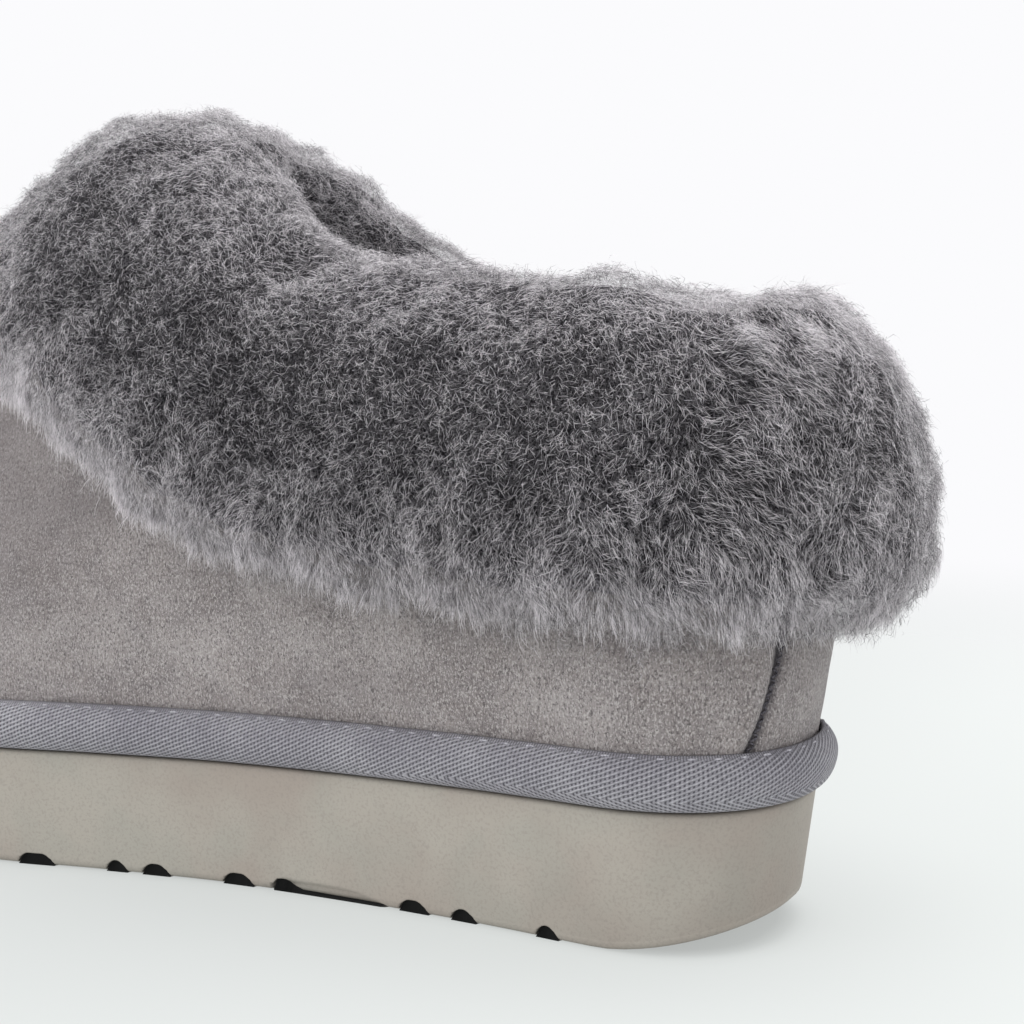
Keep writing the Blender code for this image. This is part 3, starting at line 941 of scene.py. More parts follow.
def fur_strands(shell, kind, count, light, breadth, random):
    """Centre lines, widths and tones of one lot of strands: count of them, of which a share is light."""
    rows_total = len(shell.points) - 1
    thin_hem = smooth_step(np.arange(rows_total) / rows_total, 0.0, 0.06) * 0.4 + 0.6
    rows, cols = scatter(shell.points, count, random, thin_hem[:, None])
    at, out, down, around = shell.read(rows, cols)
    climb = rows / rows_total
    stations = stations_of(at)
    hem = 1 - smooth_step(climb, *HEM_BAND)
    crest = smooth_step(climb, *CREST_BAND)
    heel = 1 - smooth_step(stations, *HEEL_BAND)
    low = (1 - smooth_step(climb, 0.02, 0.13)) * (1 - smooth_step(stations, 100, 135))
    combed = np.clip(0.9 * hem + 0.6 * crest + 0.7 * heel, 0, 1)
    sag = (1 - smooth_step(climb, 0.04, 0.2))[:, None]
    down = unit(down * (1 - sag) + np.array([0.0, 0.0, -1.0]) * sag)
    back = np.array([0.0, 1.0, 0.0]) - out * out[:, 1:2]
    lean = down * (1.6 * hem - 0.55 * crest + 0.1)[:, None] + back * (0.1 + 1.0 * heel)[:, None]

    def sideways(spread):
        """Directions along the surface: every way in the middle of the cuff, where the wool parts, and
        combed away from there over the crest, down to the hem and back round the heel."""
        angle = 1.5 * SWIRL(at) + random.normal(scale=spread, size=count) * (1 - 0.5 * combed)
        return unit(np.cos(angle)[:, None] * down + np.sin(angle)[:, None] * around + lean)

    to_tuft = nearest_tuft(at, TUFT * MM, 7) - at
    to_tuft = to_tuft - out * (to_tuft * out).sum(axis=1, keepdims=True)
    pull = to_tuft * (0.4 + 0.15 * hem)[:, None]
    core = (0.45 - np.linalg.norm(to_tuft, axis=1) / (TUFT * MM)) * (1 - 0.6 * combed)
    relief = 0.9 * LUMPS(at) + 1.0 * KNOTS(at) + 0.9 * core
    size = 0.95 + 0.12 * CURL(at) + random.normal(scale=0.28, size=count)
    size = np.clip(size, 0.35, 1.7) * (1 + 0.4 * combed)
    # Painted light and shade in the strands' tones: more of them light, and lighter, at the crest and round
    # the heel as painted light; lighter at the hem too, partly the wool's lighter tips and partly painted
    # light; darker in the relief's hollows and between tufts (core) as painted shade.
    share = light + 0.45 * hem + 0.24 * crest + 0.10 * heel - 0.16 * low + 0.45 * core
    is_light = random.uniform(size=count) < share
    tone = np.where(is_light, 0.95, 0.07) + random.normal(scale=0.10, size=count)
    tone = tone + 0.08 * SHADE(at) + 0.05 * TINT(at) + 0.07 * relief + 0.2 * core
    tone = tone + 0.37 * hem - 0.04 * low + 0.10 * heel + 0.12 * crest * (1 - smooth_step(climb, 0.72, 1.0))
    broad = np.where(is_light, 1.2, 0.85)[:, None]
    under_heel = (1 - smooth_step(climb, 0.0, 0.2)) * (1 - smooth_step(stations, -12, 8))
    level = relief - 0.3 * hem - 1.2 * under_heel
    flat = 1 - 0.3 * crest

    def spot(height, *moves):
        place_at = at + out * (height * MM)[:, None]
        for move in moves:
            place_at = place_at + move
        return place_at

    def run(spread, reach):
        return sideways(spread) * (size * reach * MM)[:, None]

    if kind == "frizz":
        stray = 0.0
        height = np.clip(level - 0.8 + random.normal(scale=0.7, size=count), -3.0, 1.4)
        tilt = random.normal(scale=0.3, size=count) * flat
        half = (size * 0.85 * MM)[:, None] * (sideways(1.5) + out * tilt[:, None])
        lines = [spot(height, -half, pull * 0.8), spot(height, half, pull)]
    elif kind == "curl":
        stray = random.exponential(scale=0.5, size=count) * flat
        height = np.clip(level + stray - 0.9, -2.6, 1.8)
        rise = (random.normal(loc=0.1, scale=0.3, size=count) + 0.3 * stray) * flat
        first, second = run(1.4, 0.7), run(1.4, 1.4)
        lines = [
            spot(height - 1.6),
            spot(height, first, pull * 0.8),
            spot(height + rise, first, second, pull),
        ]
    else:
        stray = random.exponential(scale=0.55, size=count) * flat
        loose = (random.uniform(size=count) < 0.006) * random.uniform(0.8, 2.6, size=count)
        height = np.clip(level + stray - 0.7, -2.4, 2.0) + loose
        first, second, third = run(1.3, 0.7), run(1.3, 1.2), run(1.3, 1.2)
        lines = [
            spot(height - 1.8),
            spot(height - 0.2, first, pull * 0.7),
            spot(height + 0.1, first, second, pull),
            spot(height + random.normal(scale=0.35, size=count) * flat, first, second, third, pull),
        ]
    taper = np.array([1.0, 0.85] if kind == "wavy" else [1.0])
    widths = random.uniform(*breadth, size=(count, 1)) * broad * taper * MM
    # Painted light: strays that stand out at the crest are lighter, as if lit through from behind.
    tone = tone + 0.2 * crest * np.clip(stray - 0.5, 0, 1.5)
    return np.stack(lines, axis=1), widths, tone


def grow_fringe(shell, look):
    """Ragged locks that hang from the hem over the suede, made up of short curly strands."""
    random = np.random.default_rng(501)
    count = FRINGE_STRANDS
    cols = random.uniform(0, CUFF_AROUND, size=count)
    rise = random.uniform(0, 1, size=count) ** 1.9 * FRINGE_ROOTS
    at, out, down, around = shell.read(rows_above_hem(rise), cols)
    lock = nearest_tuft(at, LOCK * MM, 21)
    stirred = lock @ np.array([12989.8, 78233.0, 37719.0])  # a different number for each lock
    mixed = [np.abs(np.sin(stirred * k) * 43758.5453) % 1.0 for k in (1, 2, 3)]
    stations = stations_of(at)
    heel = 1 - smooth_step(stations, -12, 18)
    near = 1 - smooth_step(stations, 100, 135)
    hang = np.clip(-1.2 + 8.5 * mixed[0]**1.5 + 1.6 * LUMPS(lock) + 0.9 * KNOTS(lock), 0.2, 8.0)
    hang = hang * (1 - 0.85 * heel)
    hangs = (rise < 7) & (random.uniform(size=count) < 0.5 + 0.08 * hang)
    share = random.uniform(0, 1, size=count) ** 1.1
    drop = np.where(hangs, share * (hang + rise), 0.5)
    share = np.where(hangs, share, 0.3)
    level = unit(out * np.array([1.0, 1.0, 0.0]))
    back = np.array([0.0, 1.0, 0.0]) - out * out[:, 1:2]
    fall = np.array([0.0, 0.0, -1.0]) + down * 0.5 - level * 0.25
    fall = unit(fall + around * ((mixed[2] - 0.5) * 1.1)[:, None] + back * 0.25)
    side = ((lock - at) * around).sum(axis=1, keepdims=True) * around * 0.9
    tucked = CUFF_TABLE.at("depth", stations) * SKIRT_TABLE.column("out")[0]
    tucked = np.where(hangs & (rise < 3), tucked * random.uniform(0, 1, size=count), 0)
    puff = (random.normal(loc=0.1, scale=0.6, size=count) - tucked)[:, None] * level * MM
    stray = random.normal(scale=0.25, size=(count, 1)) * around * MM
    start = at + fall * (drop * MM)[:, None] + side * share[:, None] + puff + stray

    def bent():
        return unit(fall + random.normal(scale=0.7, size=(count, 3)))

    step = (random.uniform(0.8, 1.6, size=count) * MM)[:, None]
    middle = start + bent() * step
    lines = np.stack([start, middle, middle + bent() * step], axis=1)
    is_light = random.uniform(size=count) < 0.6 - 0.16 * near
    widths = random.uniform(0.075, 0.105, size=(count, 1)) * np.where(is_light, 1.0, 0.9)[:, None] * MM
    tone = np.where(is_light, 0.9, 0.32) - 0.1 * near + random.normal(scale=0.12, size=count)
    tone = tone - 0.3 * rise / FRINGE_ROOTS + 0.25 * (mixed[1] - 0.5)
    grow_strands("fur_fringe", "sheepskin", look, lines, widths, tone, random, foot=0.42)


def rows_above_hem(rise):
    """Rows of the envelope that lie these distances above the hem, in millimetres."""
    return np.interp(rise, FRINGE_HEIGHTS, np.arange(len(FRINGE_HEIGHTS))) * CUFF_STEPS


# ---- lining and footbed

LINING_STRANDS = 26000
LINING_SINK = 0.4  # how far the pile's roots lie inside the upper's wall
FOOTBED_STRANDS = 10000
FOOTBED_GAP = 0.6  # from its edge to the upper
FOOTBED_DISH = 0.9  # how deep it is dished under the heel
# The rows of its section: their shares of the way to the middle line and of its height.
FOOTBED_TABLE = Table("share rise", (
    (0.75, 0),
    (0.3, 0),
    (0.02, 0),
    (0, 0.12),
    (0, 0.5),
    (0.015, 0.82),
    (0.05, 0.97),
    (0.12, 1.03),
    (0.25, 1.02),
    (0.45, 0.98),
    (0.7, 0.95),
    (0.92, 0.94),
))
FOOTBED_TOP = 5  # the row at which its top starts


def grow_lining(look):
    """Short curly pile on the inside of the upper."""
    random = np.random.default_rng(601)
    turns = even_turns(240)
    outer = wall_surface(turns, np.linspace(0.08, 1, 40))
    facing = surface_normals(outer)
    rows_grid = (outer - facing * (WALL - LINING_SINK) * MM).transpose(1, 0, 2)
    normal_grid = facing.transpose(1, 0, 2)
    rows, cols = scatter(rows_grid, LINING_STRANDS, random)
    at, inward = read_grid(rows_grid, rows, cols), -unit(read_grid(normal_grid, rows, cols))
    wander = random.normal(scale=1.0, size=(len(at), 3)) * MM
    middle = at + inward * lengths(random, 1.2, 2.4, at) + wander * 0.5
    tip = at + inward * lengths(random, 2.0, 4.2, at) + wander - np.array([0.0, 0.0, 1.2]) * MM
    grow_pile("lining_pile", "sheepskin", look, random, (at, middle, tip), (0.16, 0.26), (0.4, 0.8, 0.2))


def lengths(random, low, high, at):
    """A random length for each point, between two in millimetres, as a column."""
    return random.uniform(low, high, size=(len(at), 1)) * MM


def grow_pile(name, slot, look, random, line, breadth, tones):
    """Short strands through three rows of points; tones are the share of light ones, and both tones."""
    share, light, dark = tones
    widths = lengths(random, *breadth, line[0])
    tone = np.where(random.uniform(size=len(widths)) < share, light, dark)
    tone = tone + random.normal(scale=0.1, size=len(widths))
    grow_strands(name, slot, look, np.stack(line, axis=1), widths, tone, random, foot=0.2)


def make_footbed(look):
    """The fleece footbed: a thin pad, dished under the heel and rolled at its edge, with its own pile."""
    turns = even_turns(160)
    stations = stations_at(turns)
    fine = wall_surface(turns, np.linspace(0, 0.4, 30))
    inner = fine - surface_normals(fine) * (WALL + FOOTBED_GAP) * MM
    low = sole_top(stations) + GAP
    high = sole_top(stations) + INSOLE_THICK
    edge = at_height(inner, high * MM)
    middle = (edge + np.roll(edge[::-1], 1, axis=0)) / 2
    rows = []
    for share, rise in FOOTBED_TABLE.rows:
        row = edge + (middle - edge) * share
        dish = FOOTBED_DISH * share * (1 - smooth_step(stations, 40, 90))
        row[:, 2] = (low + (high - low) * rise - dish * (rise > 0.9)) * MM
        rows.append(row)
    rows = np.array(rows)
    mesh = grid_mesh("fleece_footbed", rows, is_tube=False)
    mesh = closed_ends(mesh, len(rows), rows.shape[1])
    pad = piece("fleece_footbed", make_outward(mesh), pile_look("fleece", WOOL_DARK, FLEECE_LIGHT))
    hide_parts("insole")
    random = np.random.default_rng(602)
    top = rows[FOOTBED_TOP:]
    at = read_grid(top, *scatter(top, FOOTBED_STRANDS, random))
    wander = random.normal(scale=1.0, size=(len(at), 3)) * MM * np.array([1.0, 1.0, 0.25])
    up = np.array([0.0, 0.0, 1.0])
    middle = at + up * lengths(random, 0.7, 1.5, at) + wander * 0.6
    tip = at + up * lengths(random, 1.2, 2.6, at) + wander * 1.4
    grow_pile("fleece_pile", "fleece", look, random, (at, middle, tip), (0.22, 0.36), (0.6, 0.9, 0.3))


# ---- the foam sole

GROOVE_FLARE = 0.45  # how much wider the channels open at the floor
GROOVE_CURVE = 3.1  # distance over which a channel's side curves up to its roof
GROOVE_STEPS = (-0.4, 0.02, 0.16, 0.4, 0.75, 1.2, 1.7, 2.3, 2.9, 3.5)  # mesh steps across a channel's edge
WALL_STEPS = 10
WALL_FOOT_SHARES = (0.012, 0.025, 0.04, 0.055, 0.07, 0.085)  # rows just above the rounded edge
EDGE_TURNS = np.radians((0, 30, 60, 90))  # rows round the lower and the upper edge
INWARD_SHARES = (0.05, 0.1, 0.2, 0.45, 0.8)  # rows of the underside, from its edge to the middle line
DAM_INSET = 0.4  # how far behind the wall a channel is closed down to the floor
ARCH_INSET = 1.7  # how far the wall bends in over the arch
ARCH_SHADE = 0.34  # how dark it is there
UNDER_SHADE = 0.35  # how dark the underside is
HEEL_SHADE = 0.09  # how dark the foot of the wall is round the heel


def sole_stations():
    """Stations of the mesh, closer together at the channels and the arch."""
    keys = [SOLE_LENGTH * (1 - np.cos(np.linspace(0, math.pi, 70))) / 2, np.arange(79.0, 110.0, 1.0)]
    for start, end in GROOVE_TABLE.rows:
        keys.append(start - GROOVE_FLARE + np.array(GROOVE_STEPS))
        keys.append(end + GROOVE_FLARE - np.array(GROOVE_STEPS))
    stations = np.unique(np.round(np.concatenate(keys), 2))
    kept = [stations[0]]
    for station in stations[1:]:
        if station - kept[-1] > 0.12:
            kept.append(station)
    kept[-1] = SOLE_LENGTH
    return np.array(kept)


def groove_lift(stations):
    """Height of the channels above the underside."""
    lift = np.zeros(len(stations))
    for start, end in GROOVE_TABLE.rows:
        from_edge = np.minimum(stations - start, end - stations) + GROOVE_FLARE
        curve = min(GROOVE_CURVE, (end - start) / 2 + GROOVE_FLARE)
        inside = np.clip(from_edge / curve, 0, 1)
        lift = np.maximum(lift, GROOVE_DEPTH * np.sin(inside * math.pi / 2) ** 0.6)
    return lift


def arch_lift(stations, name):
    start, end = ARCH_TABLE.column("station")[[0, -1]]
    return ARCH_TABLE.at(name, stations) * (stations > start) * (stations < end)


def bridge(first, count, is_up):
    """Faces across a closed row whose points mirror each other from heel to toe."""
    half = count // 2
    faces = []
    for i in range(half):
        ring = [i, i + 1, count - i - 1, (count - i) % count]
        ring = list(dict.fromkeys(first + k for k in ring))
        faces.append(ring if is_up else ring[::-1])
    return faces


def make_outsole():
    one_side = sole_stations()
    turns = np.arccos(1 - 2 * one_side / SOLE_LENGTH)
    turns = np.concatenate([turns, 2 * math.pi - turns[-2:0:-1]])
    stations = stations_at(turns)
    edge = sole_edge(turns)
    out = outward(edge) * MM
    bottom = sole_bottom(stations)
    top = sole_top(stations)
    grooves = groove_lift(stations)
    rise, gap = arch_lift(stations, "rise"), arch_lift(stations, "gap")
    foot = edge - out * (SOLE_TAPER + SOLE_EDGE)
    middle = (foot + np.roll(foot[::-1], 1, axis=0)) / 2
    rows, painted_shade = [], []

    # Each row also carries a darkness, painted shade that takes the foam's colour towards near black.
    def add(row, heights, darkness):
        row = row.copy()
        row[:, 2] = heights * MM
        rows.append(row)
        painted_shade.append(np.broadcast_to(darkness, len(row)))

    lift = np.maximum(grooves, gap)
    is_open = smooth_step(lift, 0.05, 0.3)
    # Painted shade: the underside somewhat dark, and black where the channels and the arch lift it.
    under = UNDER_SHADE + (1 - UNDER_SHADE) * is_open
    for share in reversed(INWARD_SHARES):
        add(foot + (middle - foot) * share, bottom + lift, under)
    dam = SOLE_TAPER + SOLE_EDGE + 0.15 - is_open * (SOLE_EDGE - DAM_INSET)
    add(edge - out * dam[:, None], bottom, under)
    arch_foot = bottom + gap

    def hollow(heights):
        """How far the wall bends in over the arch at these heights: 0 at its crease, 1 at its foot."""
        tall = np.maximum(bottom + rise - arch_foot, 0.3)
        return np.clip((bottom + rise - heights) / tall, 0, 1) * (rise > gap)

    def arch_shade(heights):
        return ARCH_SHADE * hollow(heights) ** 0.6

    heel_shade = HEEL_SHADE * (1 - smooth_step(stations, 25, 80))

    for turn in EDGE_TURNS:
        inward = SOLE_TAPER + SOLE_EDGE * (1 - math.sin(turn))
        rounding = SOLE_EDGE * (1 - math.cos(turn))
        # Painted shade: a contact shadow along the lowest part of the rounded edge, and black on the
        # channels' sides.
        shadow = UNDER_SHADE * (1 - rounding / SOLE_EDGE) ** 3
        inside = (lift > rounding + 0.3) * (1.0 - 0.9 * rounding / SOLE_EDGE)
        heights = bottom + np.maximum(rounding, lift)
        bent = np.maximum(inward + (ARCH_INSET - SOLE_EDGE * 0.5) * hollow(heights), 0)
        darkness = np.maximum(np.maximum(shadow, inside), arch_shade(heights))
        add(edge - out * bent[:, None], heights, darkness)
    low = bottom + np.maximum(SOLE_EDGE, lift)
    high = top - SOLE_BROW
    for share in (*WALL_FOOT_SHARES, *np.arange(1, WALL_STEPS) / WALL_STEPS):
        heights = low + (high - low) * share
        inset = SOLE_TAPER * (1 - share) + ARCH_INSET * hollow(heights)
        darkness = np.maximum(arch_shade(heights), heel_shade * (1 - share) ** 2)
        add(edge - out * inset[:, None], heights, darkness)
    for turn in EDGE_TURNS:
        add(edge - out * SOLE_BROW * (1 - math.cos(turn)), high + SOLE_BROW * math.sin(turn), 0.0)
    brow = edge - out * SOLE_BROW
    for share in (0.1, 0.5):
        add(brow + (middle - brow) * share, top, 0.0)
    rows = np.array(rows)
    mesh = grid_mesh("foam_sole", rows, is_tube=False, values={"painted_shade": np.array(painted_shade)})
    mesh = closed_ends(mesh, len(rows), rows.shape[1])
    made = piece("foam_sole", make_outward(mesh), foam_look())
    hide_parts("outsole")


def closed_ends(mesh, row_count, count):
    """Closes the first and last row of a grid mesh across its width."""
    work = bmesh.new()
    work.from_mesh(mesh)
    work.verts.ensure_lookup_table()
    rings = bridge(0, count, False)
    if row_count > 1:
        rings += bridge((row_count - 1) * count, count, True)
    for ring in rings:
        work.faces.new([work.verts[k] for k in ring])
    bmesh.ops.recalc_face_normals(work, faces=work.faces)
    work.to_mesh(mesh)
    work.free()
    return mesh


# ---- the suede upper

SEAM_FOOT, SEAM_TOP = 20.7, 13.2  # half width of the heel panel at the tape and at the cuff
SEAM_TOP_HEIGHT = 66.0
PANEL_REACH = 40.0  # the panel lies within this distance of the sole's back edge
FURROW, FURROW_WIDE = 1.1, 0.9  # depth and half width of a seam's furrow, twice as wide under the cuff
LIP, LIP_WIDE, LIP_OFF = 0.3, 1.3, 2.6  # height, half width and distance of the swell beside it
VAMP_AT, VAMP_ASIDE = 191.0, 26.0  # station of the vamp's swell, and its distance to the inner side
VAMP_SWELL, VAMP_LONG, VAMP_WIDE = 2.4, 20.0, 22.0  # its height and half sizes
VAMP_FROM = 60.0  # height above the ground from which it shows
STITCH_STEP, STITCH_SWING = 0.85, 0.75  # rise of each zigzag stitch, and its reach either side of the seam
STITCH_RADIUS = 0.2
STITCHES_FROM, STITCHES_TO = 39.0, 84.0  # heights between which they run
# Soft patches on the suede: station, height, sizes along and up, the side they lie on (1 the inner, -1 the
# outer), and how much lighter (above 0) or darker (below 0). The dark ones from 61 to 86 mm high lie just
# under the cuff and are painted shadow of it.
PATCH_TABLE = Table("station height long tall side light", (
    (97, 56, 15, 5, 1, 0.30),
    (41, 47.5, 7, 3, 1, 0.28),
    (20, 46, 9, 3.5, 1, 0.22),
    (140, 52, 24, 7, 1, 0.20),
    (88, 47.5, 17, 3.5, 1, -0.28),
    (-2, 54, 9, 6, 1, -0.15),
    (184, 86, 34, 36, 1, -0.52),
    (150, 82, 14, 5, 1, -0.30),
    (106, 72, 10, 4, 1, -0.30),
    (85, 68, 12, 3.5, 1, -0.30),
    (51, 62, 10, 3, 1, -0.30),
    (19, 61, 13, 3, 1, -0.30),
    (60, 52, 20, 6, -1, 0.28),
    (110, 48, 16, 5, -1, -0.25),
    (150, 60, 24, 8, -1, 0.22),
    (205, 60, 26, 12, -1, 0.20),
    (215, 55, 24, 10, 1, 0.22),
    (240, 52, 14, 10, 1, -0.18),
))


def seam_turn():
    """The turn round the sole's edge at which the heel panel's edge starts."""
    turns = np.linspace(0.01, 0.5, 400)
    return float(np.interp(SEAM_FOOT, across_of(sole_edge(turns)), turns))


def upper_turns():
    """Turns all round, close together where the heel's seams run."""
    seam = seam_turn()
    dense = np.linspace(seam * 0.5, seam * 1.25, 34)
    rest = even_turns(220)
    rest = rest[(rest < dense[0] - 0.01) | (rest > dense[-1] + 0.01)]
    rest = rest[(2 * math.pi - rest < dense[0] - 0.01) | (2 * math.pi - rest > dense[-1] + 0.01)]
    return np.sort(np.concatenate([rest, dense, 2 * math.pi - dense]))


def seam_line(heights):
    """How far the panel's edge lies from the middle line at these heights, in millimetres."""
    share = (heights / MM - SOLE_AT_HEEL) / (SEAM_TOP_HEIGHT - SOLE_AT_HEEL)
    return SEAM_FOOT + (SEAM_TOP - SEAM_FOOT) * np.clip(share, 0, 1.6)


def nap_and_painted_shade(grid):
    """Where the nap lies light from the brush, and where the suede is darker, for each point of it: painted
    shadow just under the cuff, and darker patches elsewhere.
    """
    stations, across, heights = stations_of(grid), across_of(grid), grid[..., 2] / MM
    light, dark = np.zeros(stations.shape), np.zeros(stations.shape)
    for station, height, long, tall, side, amount in PATCH_TABLE.rows:
        patch = hill((stations - station) / long, (heights - height) / tall)
        patch = patch * smooth_step(across * side, -6, 6) * abs(amount)
        if amount > 0:
            light = light + patch
        else:
            dark = dark + patch
    return np.clip(light, 0, 1), np.clip(dark, 0, 1)


def make_upper():
    turns = upper_turns()
    shares = np.concatenate([np.linspace(0, 0.6, 44), np.linspace(0.64, 1.0, 10)])
    grid = wall_surface(turns, shares)
    normals = surface_normals(grid)
    heights, across, stations = grid[..., 2] / MM, across_of(grid), stations_of(grid)
    behind = grid[..., 1] / MM > SOLE_BACK - PANEL_REACH
    off = np.abs(np.abs(across) - seam_line(grid[..., 2]))
    high = smooth_step(heights, 48, 68)
    furrow = np.where(behind, hill(off / (FURROW_WIDE + FURROW_WIDE * high)), 0.0)
    lips = np.where(behind, hill((off - LIP_OFF) / LIP_WIDE), 0.0)
    flat = grid.reshape(-1, 3)
    soft = (Field(31, 34)(flat) * 0.45 + Field(32, 15)(flat) * 0.16).reshape(grid.shape[:2])
    swell = VAMP_SWELL * hill((stations - VAMP_AT) / VAMP_LONG, (across - VAMP_ASIDE) / VAMP_WIDE)
    lift = soft * smooth_step(heights, 34, 46) - FURROW * furrow + LIP * lips + swell * (heights > VAMP_FROM)
    outer = grid + normals * lift[..., None] * MM
    inner_grid = wall_surface(turns, np.linspace(0, 1, 16))
    inner = inner_grid - surface_normals(inner_grid) * WALL * MM
    inner[:, 0, 2] = inner_grid[:, 0, 2]
    rows = np.concatenate([outer.transpose(1, 0, 2), inner.transpose(1, 0, 2)[::-1]])
    light, dark = nap_and_painted_shade(grid)
    seam = np.where(behind, hill(off / (0.8 + 0.8 * high)), 0.0) * 0.85
    values = {}
    for key, numbers in ("seam", seam), ("brush", light), ("shade", dark):
        values[key] = np.zeros(rows.shape[:2])
        values[key][:len(shares)] = numbers.T
    values["inside"] = np.zeros(rows.shape[:2])
    values["inside"][len(shares) + 1:] = 1.0
    mesh = make_outward(grid_mesh("suede_upper", rows, is_tube=True, values=values))
    made = piece("suede_upper", mesh, suede_look())
    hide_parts("upper")


def thread_mesh(name, lines, radius, sides=5):
    """Joined short threads with pointed ends along centre lines [thread, step, xyz]."""
    steps = lines.shape[1]
    tangents = unit(np.gradient(lines, axis=1))
    helper = unit(np.cross(tangents[:, steps // 2], np.array([0.31, 0.52, 0.79])))
    ends = [lines[:, 0][:, None]]
    for k in range(1, steps - 1):
        side = unit(np.cross(tangents[:, k], helper))
        other = np.cross(tangents[:, k], side)
        ring = []
        for turn in even_turns(sides):
            ring.append(lines[:, k] + radius * (side * math.cos(turn) + other * math.sin(turn)))
        ends.append(np.stack(ring, axis=1))
    ends.append(lines[:, -1][:, None])
    points = np.concatenate(ends, axis=1)
    per = points.shape[1]
    faces = []
    for i in range(sides):
        j = (i + 1) % sides
        faces.append((0, 1 + j, 1 + i))
        for k in range(steps - 3):
            a, b = 1 + k * sides, 1 + (k + 1) * sides
            faces += [(a + i, a + j, b + j), (a + i, b + j, b + i)]
        faces.append((per - 1 - sides + i, per - 1 - sides + j, per - 1))
    return copies_mesh(name, points, faces)


def make_seam_thread(look):
    """The zigzag stitches that join the heel panel to the sides."""
    fine_turns = np.linspace(0.005, 0.6, 240)
    lines = []
    for sign in (1, -1):
        turns = fine_turns if sign > 0 else 2 * math.pi - fine_turns
        grid = wall_patch(turns)
        normals = patch_normals(grid)
        heights = np.arange(STITCHES_FROM, STITCHES_TO, STITCH_STEP) * MM
        spots = []
        for k, height in enumerate(heights):
            offset = STITCH_SWING if k % 2 else -STITCH_SWING
            spots.append(wall_spot(grid, normals, height, seam_line(height) + offset))
        for (p, n), (q, m) in zip(spots, spots[1:]):
            lines.append([
                p - n * 0.35 * MM,
                p * 0.75 + q * 0.25 - n * 0.02 * MM,
                (p + q) / 2 + (n + m) / 2 * 0.05 * MM,
                q * 0.75 + p * 0.25 - m * 0.02 * MM,
                q - m * 0.35 * MM,
            ])
    mesh = thread_mesh("seam_stitches", np.array(lines), STITCH_RADIUS * MM)
    piece("seam_stitches", mesh, look)


def wall_patch(turns):
    """The upper's surface near the heel, along turns that needn't close."""
    full = np.sort(np.concatenate([even_turns(360), turns]))
    grid = wall_surface(full, np.linspace(0, 0.8, 60))
    keep = np.isin(full, turns)
    return grid[keep]


def patch_normals(grid):
    """Unit normals of the patch, pointing back out of the heel."""
    around = np.gradient(grid, axis=0)
    up = np.gradient(grid, axis=1)
    normal = unit(np.cross(around, up))
    return normal * np.sign(normal[..., 1].mean())


def wall_spot(grid, normals, height, across):
    """The point of the patch at this height and this distance from the middle line, and its normal."""
    heights = [height] * len(grid)
    points, facing = at_height(grid, heights), at_height(grid, heights, normals)
    away = np.abs(across_of(points))
    order = np.argsort(away)
    spot, normal = (read_line(across, away[order], values[order]) for values in (points, facing))
    return spot, unit(normal)


# ---- the tape

RIB = 0.94  # spacing of the twill's ribs, in millimetres
YARN = 0.85  # spacing of the dots along them
SLANT = math.radians(23.0)  # of the ribs to the tape
APEX = 4.8  # height of the line where the ribs turn back, up the tape's surface, at the heel
APEX_LOW = 1.2  # height of that line towards the toe
APEX_FROM, APEX_TO = 50.0, 120.0  # stations over which it drops to the lower edge
SELVEDGE = 1.1  # width of the plain upper edge
TAPE_BACK = (11.3, 7.5, 3.8, 0.3)  # heights of the rows behind the tape, from the top down
TAPE_GAP_BACK = 0.42  # from those rows to the upper
STITCH_PITCH = 5.3
STITCH_LENGTH = 2.7
STITCH_BELOW = 0.85  # distance of the stitches below the tape's upper edge
TAPE_THREAD_RADIUS = 0.21


def make_tape():
    turns = even_turns(480)
    fine = wall_surface(turns, np.linspace(0, 0.5, 40))
    edge = sole_edge(turns)
    out = outward(edge) * MM
    top = sole_top(stations_at(turns))
    rows = []
    for reach, rise in BAND_TABLE.rows:
        row = edge + out * reach
        row[:, 2] = (top + rise) * MM
        rows.append(row)
    face = spline_rows(rows, 5)
    behind = []
    for rise in TAPE_BACK:
        behind.append(at_height(fine, (top + rise) * MM) + out * TAPE_GAP_BACK)
    all_rows = np.concatenate([face, behind])
    weave, climb = tape_map(all_rows, stations_at(turns))
    edge_at = climb[len(face) - 1]
    selvedge = smooth_step(climb, edge_at - SELVEDGE - 0.25, edge_at - SELVEDGE + 0.25)
    # Painted shadow over the lowest millimetre of the tape, where it meets the sole.
    painted_edge_shadow = 1 - smooth_step(climb, 0.1, 0.9)
    values = {"selvedge": selvedge, "painted_edge_shadow": painted_edge_shadow}
    for key, numbers in values.items():
        values[key] = np.broadcast_to(numbers[:, None], all_rows.shape[:2])
    mesh = make_outward(grid_mesh("twill_binding", all_rows, is_tube=True, uv=weave, values=values))
    made = piece("twill_binding", mesh, tape_look())
    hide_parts("binding")
    return face


def tape_map(rows, stations):
    """Weave coordinates: how many ribs and how many yarns along each point lies. Also how far up the
    tape's surface each row lies, in millimetres."""
    along = running(steps_round(rows[10]) / MM)
    climb = running(np.linalg.norm(np.diff(rows, axis=0), axis=-1).mean(axis=1)) / MM
    climb = np.append(climb, climb[-1] + 1.0)[:, None]
    drop = along * math.tan(SLANT)
    drop *= round(drop[-1] / RIB) * RIB / drop[-1]
    forward = smooth_step(np.append(stations, stations[0]), APEX_FROM, APEX_TO)[None, :]
    apex = APEX + (APEX_LOW - APEX) * forward
    rise = np.abs(climb - apex) + drop[None, :]
    yarn = along * round(along[-1] / YARN) / along[-1]
    return np.stack([rise / RIB, np.broadcast_to(yarn[None, :], rise.shape)], axis=-1), climb[:-1, 0]


